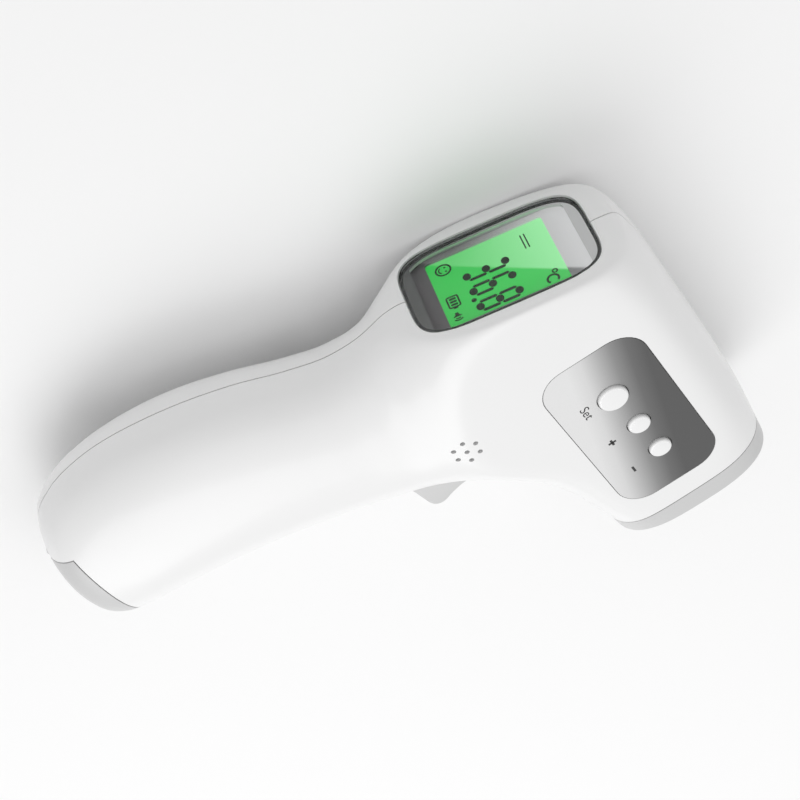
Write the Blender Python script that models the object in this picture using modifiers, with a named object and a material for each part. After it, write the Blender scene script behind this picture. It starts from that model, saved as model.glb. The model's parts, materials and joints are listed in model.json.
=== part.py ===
"""Infrared forehead thermometer with a pistol grip, as an assembly of separate pieces.

The body is worked out looking at its right side: x runs forward to the nozzle, y runs up
from the grip to the top of the head and z runs out of the right side, with z = 0 in the
plane where the two housings meet. The window's lower edge is at x = 0, y = 0. The whole
thermometer hangs on one empty, which lays it on its left side with its box centred.
"""
import math

import bmesh
import bpy
import numpy as np
from mathutils import Matrix, Vector

MM = 0.001

# ------------------------------------------------------------- overall sizes
BODY_HEIGHT = 153.2 * MM      # from the grip's bottom to the top of the head
BODY_DEPTH = 109.1 * MM       # from the grip's back to the nozzle's face
HEAD_WIDTH = 38.5 * MM        # across the head, beside the window
GRIP_WIDTH = 30.0 * MM        # across the grip, where it is thickest

# ------------------------------------------------------------- walls and fits
WALL = 2.5 * MM               # housing wall
FIT = 0.3 * MM                # gap between pieces that touch
SEAM = 0.3 * MM               # gap between the two housings
TURN_FIT = 0.08 * MM          # radial gap round a hinge pin

# ------------------------------------------------------------- window and display
DISPLAY_LEAN = math.radians(13.0)   # the display's top leans forward by this
RIM_HEIGHT = 0.5 * MM         # the bezel stands this proud of the window
RIM_BLEND = 5.0 * MM          # softness of the bezel's outer edge
WINDOW_WIDTH = 29.6 * MM
WINDOW_HEIGHT = 44.0 * MM
WINDOW_THICKNESS = 1.1 * MM
WINDOW_LEDGE = 1.3 * MM       # width of the ledge that the window rests on
WINDOW_CORNER = 4.6           # exponent of the window's outline
LCD_WIDTH = 25.6 * MM
LCD_HEIGHT = 31.0 * MM
LCD_MIDDLE = 21.3 * MM        # its middle, up from the window's lower edge
LCD_THICKNESS = 1.8 * MM
LCD_DEPTH = 3.6 * MM          # from the window's face down to the glass
FRAME_WIDTH = 28.0 * MM       # display frame around the glass
FRAME_HEIGHT = 38.6 * MM
FRAME_CORNER = 4.0 * MM
BACKLIGHT_THICKNESS = 2.0 * MM
STRIP_WIDTH = 2.0 * MM        # contact strips between glass and display board
BOARD_THICKNESS = 1.4 * MM

# ------------------------------------------------------------- label and buttons
SIDE_TAPER = math.radians(3.0)      # the head narrows towards the nozzle
LABEL_REACH = 43.5 * MM       # from the window forward to the label's middle line
SIDE_BLEND = 2.0 * MM
LABEL_LENGTH = 53.0 * MM
LABEL_HEIGHT = 26.4 * MM
LABEL_THICKNESS = 0.8 * MM
LABEL_CORNER = 5.0 * MM
LABEL_MIDDLE = (9.6 * MM, 25.3 * MM)
BUTTON_RISE = 1.0 * MM        # the buttons stand this proud of the label
BUTTON_TRAVEL = 0.5 * MM
BUTTON_COLLAR = 1.0 * MM      # the collar under the wall is wider by this, each side
BUTTONS = {                   # name: middle on the label plane, diameter
    "set": (-0.9 * MM, 25.4 * MM, 7.3 * MM),
    "plus": (11.4 * MM, 26.4 * MM, 5.5 * MM),
    "minus": (22.5 * MM, 26.9 * MM, 5.5 * MM),
}
SWITCH_SIDE = 6.0 * MM
SWITCH_HEIGHT = 3.3 * MM
PLUNGER_RADIUS = 1.7 * MM
PLUNGER_RISE = 1.0 * MM
MAIN_BOARD_LENGTH = 42.0 * MM
MAIN_BOARD_HEIGHT = 30.0 * MM
RATING_LENGTH = 42.0 * MM     # rating label on the left side
RATING_HEIGHT = 22.0 * MM
RATING_THICKNESS = 0.5 * MM

# ------------------------------------------------------------- speaker
SPEAKER_MIDDLE = (33.7 * MM, -8.8 * MM)
SPEAKER_PITCH = 3.3 * MM
SPEAKER_HOLE = 0.7 * MM       # radius
BUZZER_RADIUS = 5.2 * MM
BUZZER_HEIGHT = 3.6 * MM

# ------------------------------------------------------------- trigger
TRIGGER_WIDTH = 13.0 * MM
TRIGGER_PIN = (46.3 * MM, -7.2 * MM)
TRIGGER_PIN_RADIUS = 1.0 * MM
TRIGGER_SWING = math.radians(6.0)
TRIGGER_GAP = 0.5 * MM

# ------------------------------------------------------------- nozzle and sensor
NOZZLE_RING = 6.8 * MM        # length of the grey ring
NOZZLE_FACE = 2.0 * MM        # thickness of the ring's front wall
MOUTH_RADIUS = 9.0 * MM
FUNNEL_LENGTH = 9.2 * MM
FUNNEL_THROAT = 4.4 * MM
FUNNEL_WALL = 0.9 * MM
SENSOR_RADIUS = 4.1 * MM
SENSOR_LENGTH = 5.0 * MM
HOLDER_WALL = 3.0 * MM
HOLDER_LENGTH = 7.0 * MM

# ------------------------------------------------------------- batteries and door
GRIP_LEAN = math.radians(4.5)       # the grip's axis leans forward by this
CELL_RADIUS = 5.25 * MM
CELL_LENGTH = 44.5 * MM
CELL_PITCH = 11.6 * MM
TRAY_WALL = 1.0 * MM
TRAY_HEIGHT = 48.3 * MM
DOOR_HEIGHT = 8.4 * MM        # from the grip's bottom to where door and grip meet
DOOR_STEP = -0.5 * MM         # the door's rear edge, forward of the window's lower edge
HINGE_PIN_RADIUS = 0.5 * MM
KNUCKLE_RADIUS = 1.2 * MM
KNUCKLE_LENGTH = 6.0 * MM
HINGE_SINK = 0.9 * MM         # hinge axis above the grip's bottom face
HINGE_PIN_LENGTH = 11.0 * MM
LUG_LENGTH = 2.6 * MM
TONGUE_WIDTH = 7.0 * MM
TONGUE_HEIGHT = 6.0 * MM      # the catch stands this far above the door
TONGUE_THICKNESS = 1.2 * MM
TONGUE_BACK = 5.0 * MM        # from the grip's front face back to the catch
SLOT_HEIGHT = 2.7 * MM        # slot in the grip's front, to press the catch
SLOT_WIDTH = 8.0 * MM

# ------------------------------------------------------------- screws
SCREW_RADIUS = 1.0 * MM
SCREW_HEAD_RADIUS = 2.0 * MM
SCREW_HEAD_HEIGHT = 1.3 * MM
SCREW_REACH = 6.5 * MM        # how far a screw goes past the seam
SCREW_TIP = 0.6 * MM          # length of its point beyond that
SCREW_SEAT = 5.0 * MM         # from the seam to the face under a screw's head
BOSS_RADIUS = 2.7 * MM
SCREWS = [(24.0 * MM, 43.2 * MM), (82.0 * MM, 38.5 * MM), (74.0 * MM, 9.4 * MM),
          (6.0 * MM, -33.0 * MM), (-8.0 * MM, -76.0 * MM)]

# Sections of the body: place along it, rear outline x and y, front outline x and y, half
# width, where between them it is widest, and the exponent of its rounding. Millimetres,
# scaled to the overall sizes below. The rear outline runs from the grip's bottom up its
# back, round beyond the display, and along the top to the nozzle.
SECTIONS = np.array([
    (0.00, 14.0, -102.6, 14.0, -102.6, 0.0, 0.50, 2.2),
    (0.02, 7.5, -102.2, 20.5, -101.6, 6.5, 0.50, 2.2),
    (0.05, 0.0, -100.8, 25.3, -100.0, 10.3, 0.50, 2.2),
    (0.09, -7.0, -97.4, 28.4, -97.2, 12.4, 0.50, 2.2),
    (0.15, -12.0, -90.5, 29.8, -91.5, 13.8, 0.50, 2.2),
    (0.23, -14.8, -80.0, 30.8, -82.0, 14.7, 0.50, 2.2),
    (0.31, -15.0, -68.0, 32.4, -70.5, 15.0, 0.50, 2.2),
    (0.39, -12.9, -55.5, 34.8, -58.5, 15.0, 0.50, 2.2),
    (0.47, -8.4, -43.0, 37.8, -47.5, 14.8, 0.50, 2.2),
    (0.55, -2.6, -30.5, 41.0, -37.0, 14.6, 0.52, 2.2),
    (0.61, 0.4, -21.0, 43.8, -29.0, 14.6, 0.56, 2.2),
    (0.66, 0.4, -12.0, 46.4, -22.0, 15.2, 0.60, 2.2),
    (0.70, -2.0, -4.6, 49.2, -15.5, 17.0, 0.55, 2.5),
    (0.735, -6.5, 7.0, 52.6, -9.8, 19.6, 0.48, 2.9),
    (0.77, -7.0, 22.0, 57.0, -5.0, 20.6, 0.44, 3.2),
    (0.80, -3.5, 36.0, 62.0, -1.8, 20.4, 0.44, 3.2),
    (0.83, 4.0, 46.5, 67.0, 0.3, 20.0, 0.44, 3.2),
    (0.86, 16.0, 50.0, 72.0, 2.0, 19.3, 0.46, 3.2),
    (0.90, 40.0, 50.6, 78.0, 3.4, 18.2, 0.50, 3.2),
    (0.95, 70.0, 50.2, 86.5, 4.8, 16.4, 0.52, 3.0),
    (1.00, 94.0, 48.0, 94.0, 5.2, 13.4, 0.52, 2.8),
])
BODY_ROWS = 44                # sections in the body's mesh
BODY_COLUMNS = 13             # points round each half section

# ------------------------------------------------------------- worked out from these
_outline_x = SECTIONS[:, (1, 3)]
_outline_y = SECTIONS[:, (2, 4)]
SCALE_X = BODY_DEPTH / np.ptp(_outline_x)
SCALE_Y = BODY_HEIGHT / np.ptp(_outline_y)
SCALE_Z = GRIP_WIDTH / 2.0 / SECTIONS[6, 5]
NOZZLE_X = SECTIONS[-1, 1] * SCALE_X
NOZZLE_Y = (SECTIONS[-1, 2] + SECTIONS[-1, 4]) / 2.0 * SCALE_Y
SIDE_Z = HEAD_WIDTH / 2.0 - LABEL_REACH * math.tan(SIDE_TAPER)
FACE_X = NOZZLE_X - 0.4 * MM  # the ring's front is cut flat here
RING_X = NOZZLE_X - NOZZLE_RING
BOTTOM_Y = _outline_y.min() * SCALE_Y
DOOR_Y = BOTTOM_Y + DOOR_HEIGHT
FAR = 200 * MM                # larger than anything
TIP_SPREAD = 11 * MM          # how far the wall takes to reach its thickness at the tip


# ------------------------------------------------------------- the body's shape
def smooth_curve(place, knots, values):
    """Smooth curve through the values at the knots, read at each place."""
    slopes = np.gradient(values, knots, axis=0)
    i = np.clip(np.searchsorted(knots, place) - 1, 0, len(knots) - 2)
    step = (knots[i + 1] - knots[i])
    u = (place - knots[i]) / step
    u, step = u[..., None], step[..., None]
    start = (2 * u**3 - 3 * u**2 + 1) * values[i] + (u**3 - 2 * u**2 + u) * step * slopes[i]
    end = (3 * u**2 - 2 * u**3) * values[i + 1] + (u**3 - u**2) * step * slopes[i + 1]
    return start + end


def soft_limit(value, limit, blend):
    """The smaller of value and limit, rounded where they meet."""
    near = np.maximum(blend - np.abs(value - limit), 0.0) / blend
    return np.minimum(value, limit) - near**3 * blend / 6.0


def body_points(place, angle, inset=0.0):
    """Points of the right half of the body's outer surface, or of one inset from it.

    Each section lies between a rear and a front outline point. It is a rounded half
    section, widest part way along. The display face and the head's side are flats that
    limit it softly. An inset surface has its outlines, its width and both flats moved
    inwards, and its tip at the grip's bottom moved up.
    """
    row = smooth_curve(np.clip(place, 0.0, 1.0), SECTIONS[:, 0], SECTIONS[:, 1:])
    scale = np.array((SCALE_X, SCALE_Y))
    rear = row[..., 0:2] * scale
    front = row[..., 2:4] * scale
    half_width = np.maximum(row[..., 4], 0.0) * SCALE_Z
    span = front - rear
    depth = np.linalg.norm(span, axis=-1, keepdims=True) / 2.0
    step = span / np.maximum(2.0 * depth, MM) * inset * np.minimum(depth / TIP_SPREAD, 1.0)
    rise = inset * np.sqrt(1.0 - np.minimum(depth / (2.0 * TIP_SPREAD), 1.0))
    up = np.array((0.0, 1.0))
    rear = rear + step + rise * up
    front = front - step + rise * up
    half_width = half_width - inset * np.minimum(half_width / TIP_SPREAD, 1.0)
    widest = row[..., 5]
    power = 2.0 / row[..., 6]
    across = np.abs(np.sin(angle))**power
    along = np.abs(np.cos(angle))**power
    share = np.where(np.cos(angle) > 0, widest * (1 - along), widest + (1 - widest) * along)
    flat = rear + (front - rear) * share[..., None]
    out = np.array((-math.cos(DISPLAY_LEAN), math.sin(DISPLAY_LEAN)))
    proud = flat @ out
    flat = flat + (soft_limit(proud, RIM_HEIGHT - inset, RIM_BLEND) - proud)[..., None] * out
    z = half_width * across
    slope = math.sin(SIDE_TAPER)
    side = z * math.cos(SIDE_TAPER) + (flat[..., 0] - LABEL_REACH) * slope
    z = z + (soft_limit(side, SIDE_Z - inset, SIDE_BLEND) - side) / math.cos(SIDE_TAPER)
    return np.concatenate((flat, np.maximum(z, 0.0)[..., None]), -1)


def outline_walk(count):
    """Places whose sections are evenly spaced along the rear and front outlines."""
    dense = np.linspace(0.0, 1.0, 600)
    rear = body_points(dense, np.zeros_like(dense))
    front = body_points(dense, np.full_like(dense, np.pi))
    moves = np.linalg.norm(np.diff(rear, axis=0), axis=1)
    moves = moves + np.linalg.norm(np.diff(front, axis=0), axis=1)
    walked = np.concatenate(((0.0,), np.cumsum(moves)))
    return np.interp(np.linspace(0.0, walked[-1], count), walked, dense)


def half_width_at(x, y):
    """Half width of the body's outer surface at a point of its side view."""
    gaps = np.hypot(SURFACE[:, 0] - x, SURFACE[:, 1] - y)
    return float(SURFACE[np.argmin(gaps), 2])


def edge_at(x=None, y=None, front=True):
    """Where the body's front or rear outline crosses a given x or y below the window."""
    angle = np.pi if front else 0.0
    places = np.linspace(0.0, 0.66, 400)
    line = body_points(places, np.full_like(places, angle))
    if y is not None:
        return float(np.interp(y, line[:, 1], line[:, 0]))
    low = line[line[:, 1] < line[:, 1].min() + 20 * MM]
    order = np.argsort(low[:, 0])
    return float(np.interp(x, low[order, 0], low[order, 1]))


# ------------------------------------------------------------- helpers
def new_collection(name):
    collection = bpy.data.collections.new(name)
    bpy.context.scene.collection.children.link(collection)
    return collection


def add_empty(name, location=(0, 0, 0), rotation=(0, 0, 0), parent=None):
    empty = bpy.data.objects.new(name, None)
    PARTS.objects.link(empty)
    empty.location = location
    empty.rotation_euler = rotation
    empty.parent = parent
    return empty


def material(name, color, roughness=0.5, metallic=0.0, alpha=1.0):
    found = bpy.data.materials.get(name)
    if found:
        return found
    made = bpy.data.materials.new(name)
    made.use_nodes = True
    shader = made.node_tree.nodes["Principled BSDF"]
    shader.inputs["Base Color"].default_value = (*color, 1.0)
    shader.inputs["Roughness"].default_value = roughness
    shader.inputs["Metallic"].default_value = metallic
    shader.inputs["Alpha"].default_value = alpha
    made.diffuse_color = (*color, 1.0)
    return made


def finish_piece(obj, parent, finish, location=(0, 0, 0), rotation=(0, 0, 0)):
    """Put a piece under its parent, in its place, with its material."""
    obj.parent = parent
    obj.location = location
    obj.rotation_euler = rotation
    if finish is not None:
        obj.data.materials.clear()
        obj.data.materials.append(finish)
    return obj


def mesh_object(name, build, collection=None):
    """Object whose mesh is filled by a function that is given a bmesh."""
    mesh = bpy.data.meshes.new(name)
    shape = bmesh.new()
    build(shape)
    bmesh.ops.recalc_face_normals(shape, faces=shape.faces)
    shape.to_mesh(mesh)
    shape.free()
    obj = bpy.data.objects.new(name, mesh)
    (collection or PARTS).objects.link(obj)
    return obj


def block(name, low, high, collection=None, rounding=0.0):
    """Box between two corners, with rounded edges if wanted."""
    low, high = Vector(low), Vector(high)

    def build(shape):
        place = Matrix.Translation((low + high) / 2) @ Matrix.Diagonal((*(high - low), 1.0))
        bmesh.ops.create_cube(shape, size=1.0, matrix=place)

    obj = mesh_object(name, build, collection)
    if rounding:
        add_bevel(obj, rounding)
    return obj


def rod(name, start, end, radius, collection=None, sides=24):
    """Round rod between two points."""
    start, end = Vector(start), Vector(end)
    axis = end - start
    turn = axis.to_track_quat("Z", "Y").to_matrix().to_4x4()

    def build(shape):
        place = Matrix.Translation((start + end) / 2) @ turn
        bmesh.ops.create_cone(shape, cap_ends=True, segments=sides, radius1=radius,
                              radius2=radius, depth=axis.length, matrix=place)

    obj = mesh_object(name, build, collection)
    smooth(obj)
    return obj


def outline_curve(name, points, half_thickness):
    """Flat closed outline, extruded both ways from z = 0."""
    curve = bpy.data.curves.new(name, "CURVE")
    curve.dimensions = "2D"
    curve.fill_mode = "BOTH"
    curve.extrude = half_thickness
    spline = curve.splines.new("POLY")
    spline.points.add(len(points) - 1)
    for point, (x, y) in zip(spline.points, points):
        point.co = (x, y, 0.0, 1.0)
    spline.use_cyclic_u = True
    obj = bpy.data.objects.new(name, curve)
    PARTS.objects.link(obj)
    return obj


def to_mesh(curve_object, collection=None, shift=(0, 0, 0)):
    """The curve as a closed mesh, moved by shift, with its caps welded."""
    name = curve_object.name
    bpy.context.view_layer.update()
    graph = bpy.context.evaluated_depsgraph_get()
    mesh = bpy.data.meshes.new_from_object(curve_object.evaluated_get(graph))
    place = curve_object.matrix_world.copy()
    bpy.data.objects.remove(curve_object)
    shape = bmesh.new()
    shape.from_mesh(mesh)
    bmesh.ops.remove_doubles(shape, verts=shape.verts, dist=0.00001)
    bmesh.ops.translate(shape, verts=shape.verts, vec=Vector(shift))
    bmesh.ops.recalc_face_normals(shape, faces=shape.faces)
    shape.to_mesh(mesh)
    shape.free()
    mesh.name = name
    obj = bpy.data.objects.new(name, mesh)
    obj.matrix_world = place
    (collection or PARTS).objects.link(obj)
    return obj


def plate(name, points, low, high, collection=None):
    """Solid plate of an outline between two heights."""
    flat = outline_curve(name, points, (high - low) / 2.0)
    return to_mesh(flat, collection, (0, 0, (high + low) / 2.0))


def turned(name, profile, finish, parent, location=(0, 0, 0), rotation=(0, 0, 0), steps=32):
    """Piece turned about its z axis from (radius, z) points, down its outer side."""
    closed = bool(profile[0][0] > 0)

    def build(shape):
        corners = [shape.verts.new((radius, 0.0, z)) for radius, z in profile]
        for first, second in zip(corners, corners[1:]):
            shape.edges.new((first, second))
        if closed:
            shape.edges.new((corners[-1], corners[0]))

    obj = mesh_object(name, build)
    screw = obj.modifiers.new("Turn", "SCREW")
    screw.axis = "Z"
    screw.steps = steps
    screw.render_steps = steps
    screw.use_merge_vertices = True
    screw.merge_threshold = 0.00001
    screw.use_smooth_shade = False
    return finish_piece(obj, parent, finish, location, rotation)


def wire(name, points, radius, finish, parent, resolution=2):
    """Round wire through points, with filled ends."""
    curve = bpy.data.curves.new(name, "CURVE")
    curve.dimensions = "3D"
    curve.bevel_depth = radius
    curve.bevel_resolution = resolution
    curve.use_fill_caps = True
    spline = curve.splines.new("POLY")
    spline.points.add(len(points) - 1)
    for point, co in zip(spline.points, points):
        point.co = (*co, 1.0)
    obj = bpy.data.objects.new(name, curve)
    PARTS.objects.link(obj)
    return finish_piece(obj, parent, finish)


def smooth(obj):
    obj.data.shade_smooth()
    obj.data.set_sharp_from_angle(angle=math.radians(35))


def add_bevel(obj, width, segments=2, angle=50.0):
    bevel = obj.modifiers.new("Rounded edges", "BEVEL")
    bevel.width = width
    bevel.segments = segments
    bevel.limit_method = "ANGLE"
    bevel.angle_limit = math.radians(angle)


def combine(obj, other, operation="DIFFERENCE"):
    """Cut, join or intersect a piece with a shape that is then left as a guide."""
    step = obj.modifiers.new(operation.title(), "BOOLEAN")
    step.operation = operation
    # EXACT loses the left shell at the window's cut. MANIFOLD needs closed meshes: all are.
    step.solver = "MANIFOLD"
    step.object = other
    other.hide_render = True
    other.display_type = "WIRE"


def rounded_rectangle(width, height, corner, middle=(0.0, 0.0), steps=5):
    """Rectangle with round corners."""
    points = []
    for quarter in range(4):
        turn = quarter * math.pi / 2
        sx = 1 if quarter in (0, 3) else -1
        sy = 1 if quarter in (0, 1) else -1
        cx = middle[0] + sx * (width / 2 - corner)
        cy = middle[1] + sy * (height / 2 - corner)
        for k in range(steps + 1):
            a = turn + k * math.pi / 2 / steps
            points.append((cx + corner * math.cos(a), cy + corner * math.sin(a)))
    return points


def window_outline(grow=0.0, steps=48):
    """Rounded outline of the window, grown outwards."""
    half_w = WINDOW_WIDTH / 2 + grow
    half_h = WINDOW_HEIGHT / 2 + grow
    points = []
    for k in range(steps):
        a = 2 * math.pi * k / steps
        c, s = math.cos(a), math.sin(a)
        x = half_w * math.copysign(abs(c)**(2 / WINDOW_CORNER), c)
        y = half_h * math.copysign(abs(s)**(2 / WINDOW_CORNER), s)
        points.append((x, WINDOW_HEIGHT / 2 + y))
    return points


def smooth_path(points, steps):
    """Points on one smooth curve through a few given ones."""
    knots = np.linspace(0.0, 1.0, len(points))
    places = np.linspace(0.0, 1.0, steps)
    return [tuple(p) for p in smooth_curve(places, knots, np.array(points))]


# ------------------------------------------------------------- the scene
for old in list(bpy.data.objects):
    bpy.data.objects.remove(old)

PARTS = new_collection("infrared_thermometer")
CUTTERS = new_collection("cutters")

_places = np.linspace(0.0, 1.0, 500)
_angles = np.linspace(0.0, np.pi, 120)
SURFACE = body_points(*np.meshgrid(_places, _angles, indexing="ij")).reshape(-1, 3)
_low, _high = SURFACE.min(0), SURFACE.max(0)

WHITE = material("white_plastic", (0.86, 0.86, 0.86), 0.35)
GREY = material("light_grey_plastic", (0.66, 0.66, 0.66), 0.4)
BLACK = material("black_plastic", (0.03, 0.03, 0.03), 0.5)
DARK_GLASS = material("tinted_window", (0.05, 0.05, 0.06), 0.08, 0.0, 0.35)
GLASS = material("lcd_glass", (0.12, 0.6, 0.2), 0.2)
FRAME_GREY = material("display_frame_grey", (0.27, 0.25, 0.27), 0.5)
DIFFUSER = material("backlight_diffuser", (0.8, 0.85, 0.8), 0.6)
RUBBER = material("contact_rubber", (0.4, 0.35, 0.35), 0.8)
BOARD = material("circuit_board_green", (0.02, 0.16, 0.07), 0.45)
LABEL = material("silver_label", (0.5, 0.5, 0.5), 0.3, 0.6)
PAPER = material("rating_label_silver", (0.62, 0.62, 0.62), 0.45, 0.3)
STEEL = material("steel", (0.55, 0.55, 0.56), 0.3, 1.0)
BRASS = material("nickel_contact", (0.6, 0.58, 0.5), 0.3, 1.0)
CELL = material("battery_wrap", (0.08, 0.1, 0.25), 0.4)
RED = material("red_insulation", (0.5, 0.02, 0.02), 0.5)
DARK = material("black_insulation", (0.02, 0.02, 0.02), 0.5)

# The thermometer lies on its left side with the middle of its box over the origin.
BODY = add_empty("thermometer", (-(_low[0] + FACE_X) / 2, -(_low[1] + _high[1]) / 2, _high[2]))
DISPLAY = add_empty("display_place", parent=BODY)
DISPLAY.rotation_mode = "QUATERNION"
DISPLAY.rotation_quaternion = Matrix(((0, math.sin(DISPLAY_LEAN), -math.cos(DISPLAY_LEAN)),
                                      (0, math.cos(DISPLAY_LEAN), math.sin(DISPLAY_LEAN)),
                                      (1, 0, 0))).to_quaternion()
LABEL_SIDE = add_empty("label_place", (LABEL_REACH, 0, SIDE_Z / math.cos(SIDE_TAPER)),
                       (0, SIDE_TAPER, 0), BODY)
LEFT_SIDE = add_empty("rating_place", (LABEL_REACH, 0, -SIDE_Z / math.cos(SIDE_TAPER)),
                      (0, math.pi - SIDE_TAPER, 0), BODY)
NOZZLE = add_empty("nozzle_place", (FACE_X, NOZZLE_Y, 0), (0, math.pi / 2, 0), BODY)
TRAY = add_empty("tray_place", (9.0 * MM, DOOR_Y + 0.6 * MM, 0), (0, 0, -GRIP_LEAN), BODY)
TRIGGER = add_empty("trigger_axis", (*TRIGGER_PIN, 0), parent=BODY)
HINGE_X = DOOR_STEP + FIT + KNUCKLE_RADIUS
HINGE_Y = edge_at(x=HINGE_X, front=False) + HINGE_SINK
HINGE = add_empty("door_axis", (HINGE_X, HINGE_Y, 0), parent=BODY)


def cutter(shape, parent=BODY, location=(0, 0, 0), rotation=(0, 0, 0)):
    """A shape that only cuts or joins: hidden, in the cutters' collection."""
    for collection in list(shape.users_collection):
        collection.objects.unlink(shape)
    CUTTERS.objects.link(shape)
    shape.hide_render = True
    shape.display_type = "WIRE"
    return finish_piece(shape, parent, None, location, rotation)


# ------------------------------------------------------------- housings
def body_solid(name, collection, inset=0.0):
    """Closed solid of the body, or of the space inside its wall."""
    places = outline_walk(BODY_ROWS)
    angles = np.linspace(0.0, np.pi, BODY_COLUMNS)
    grid = body_points(*np.meshgrid(places[1:], angles, indexing="ij"), inset)
    if inset:
        grid[-1, :, 0] += inset
    tip = body_points(np.zeros(1), np.zeros(1), inset)
    points = np.concatenate((tip, grid.reshape(-1, 3)))
    faces = [(0, 2 + k, 1 + k) for k in range(BODY_COLUMNS - 1)]
    for row in range(len(grid) - 1):
        first = 1 + row * BODY_COLUMNS
        for k in range(BODY_COLUMNS - 1):
            a = first + k
            faces.append((a, a + 1, a + BODY_COLUMNS + 1, a + BODY_COLUMNS))
    last = 1 + (len(grid) - 1) * BODY_COLUMNS
    faces.append(tuple(range(last, last + BODY_COLUMNS)))
    mesh = bpy.data.meshes.new(name)
    mesh.from_pydata([tuple(p) for p in points], [], faces)
    obj = bpy.data.objects.new(name, mesh)
    collection.objects.link(obj)
    mirror = obj.modifiers.new("Left half", "MIRROR")
    mirror.use_axis = (False, False, True)
    mirror.merge_threshold = 0.00005
    return obj


def body_shell(name, finish):
    """Hollow body, open at the nozzle."""
    shell = finish_piece(body_solid(name, PARTS), BODY, finish)
    combine(shell, INSIDE)
    return shell


def lug(side):
    """Corners of the block beside the door's knuckle that holds one end of the hinge pin."""
    inner = side * (KNUCKLE_LENGTH / 2 + FIT)
    outer = side * (KNUCKLE_LENGTH / 2 + FIT + LUG_LENGTH)
    low = (DOOR_STEP - 3 * KNUCKLE_RADIUS, HINGE_Y - HINGE_PIN_RADIUS - 0.2 * MM,
           min(inner, outer))
    high = (HINGE_X + KNUCKLE_RADIUS, HINGE_Y + 2 * KNUCKLE_RADIUS, max(inner, outer))
    return low, high


def trigger_slot():
    """Opening in the grip's front that the trigger swings in."""
    low_y = TRIGGER_SHAPE[-1][1] - TRIGGER_GAP
    points = [(36 * MM, low_y), (70 * MM, low_y), (70 * MM, TRIGGER_SHAPE[0][1] + 0.8 * MM),
              (48 * MM, TRIGGER_SHAPE[0][1] + 0.8 * MM)]
    half = TRIGGER_WIDTH / 2 + TRIGGER_GAP
    return plate("trigger_slot", points, -half, half, CUTTERS)


def make_housing(name, side):
    """One housing: side is 1 for the right and -1 for the left."""
    shell = body_shell(name, WHITE)
    for number, (x, y) in enumerate(SCREWS):
        radius = BOSS_RADIUS if side > 0 else SCREW_HEAD_RADIUS + FIT + 1.0 * MM
        rim = [half_width_at(x + radius * math.cos(a), y + radius * math.sin(a))
               for a in np.linspace(0.0, 2.0 * np.pi, 12)]
        end = side * (min(rim) - 0.4 * MM)
        boss = rod(f"{name}_boss_{number}", (x, y, 0), (x, y, end), radius, CUTTERS)
        combine(shell, cutter(boss), "UNION")
    other_half = block(f"{name}_other_half", (-FAR, -FAR, min(side * SEAM / 2, -side * FAR)),
                       (FAR, FAR, max(side * SEAM / 2, -side * FAR)), CUTTERS)
    combine(shell, cutter(other_half))
    combine(shell, NOZZLE_SPACE)
    combine(shell, DOOR_SPACE)
    low, high = lug(side)
    pin_lug = cutter(block(f"{name}_lug", low, high, CUTTERS))
    combine(pin_lug, LUG_LIMIT, "INTERSECT")
    combine(shell, pin_lug, "UNION")
    for shape in (WINDOW_RECESS, WINDOW_OPENING, TRIGGER_SPACE, CATCH_SLOT, PIN_SPACE,
                  TRIGGER_PIN_SPACE):
        combine(shell, shape)
    for number, (x, y) in enumerate(SCREWS):
        if side > 0:
            hole = rod(f"pilot_{number}", (x, y, -SEAM), (x, y, SCREW_REACH + SCREW_TIP + FIT),
                       SCREW_RADIUS + FIT, CUTTERS, 16)
        else:
            hole = turned_hole(number, x, y)
        combine(shell, cutter(hole))
    return shell


def turned_hole(number, x, y):
    """Screw hole in the left housing: a narrow bore below a deep seat for the head."""
    bore = rod(f"bore_{number}", (x, y, SEAM), (x, y, -SCREW_SEAT - MM),
               SCREW_RADIUS + FIT, CUTTERS, 16)
    seat = rod(f"seat_{number}", (x, y, -SCREW_SEAT), (x, y, -half_width_at(x, y) - 3 * MM),
               SCREW_HEAD_RADIUS + FIT, CUTTERS, 20)
    combine(bore, cutter(seat), "UNION")
    return bore


# Side view of the trigger, from its top round its front face and back up behind.
TRIGGER_SHAPE = [(x * MM, y * MM) for x, y in (
    (50.9, -9.9), (51.1, -11.8), (50.9, -14.0), (51.1, -17.0), (51.8, -20.0), (52.7, -22.4),
    (52.8, -23.8), (52.1, -25.2), (50.6, -26.0), (46.5, -26.8), (42.6, -27.5))]
TRIGGER_BACK = [(x * MM, y * MM) for x, y in (
    (39.2, -27.4), (39.6, -20.0), (42.6, -10.0), (43.4, -6.2), (45.4, -4.9), (47.5, -6.1), (48.6, -9.3))]

INSIDE = cutter(body_solid("inside", CUTTERS, WALL))
LUG_LIMIT = cutter(body_solid("lug_limit", CUTTERS, 0.1 * MM))
NOZZLE_SPACE = cutter(block("nozzle_space", (RING_X - FIT, -FAR, -FAR), (FAR, FAR, FAR),
                            CUTTERS))
DOOR_SPACE = cutter(block("door_space", (DOOR_STEP, -FAR, -FAR), (FAR, DOOR_Y, FAR), CUTTERS))
WINDOW_RECESS = cutter(plate("window_recess", window_outline(FIT),
                             -WINDOW_THICKNESS - FIT, 5 * MM, CUTTERS), DISPLAY)
WINDOW_OPENING = cutter(plate("window_opening", window_outline(-WINDOW_LEDGE),
                              -8 * MM, 0.0, CUTTERS), DISPLAY)
TRIGGER_SPACE = cutter(trigger_slot())
_catch_x = edge_at(y=DOOR_Y + TONGUE_HEIGHT / 2, front=True)
_catch_y = DOOR_Y + TONGUE_HEIGHT - SLOT_HEIGHT
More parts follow.
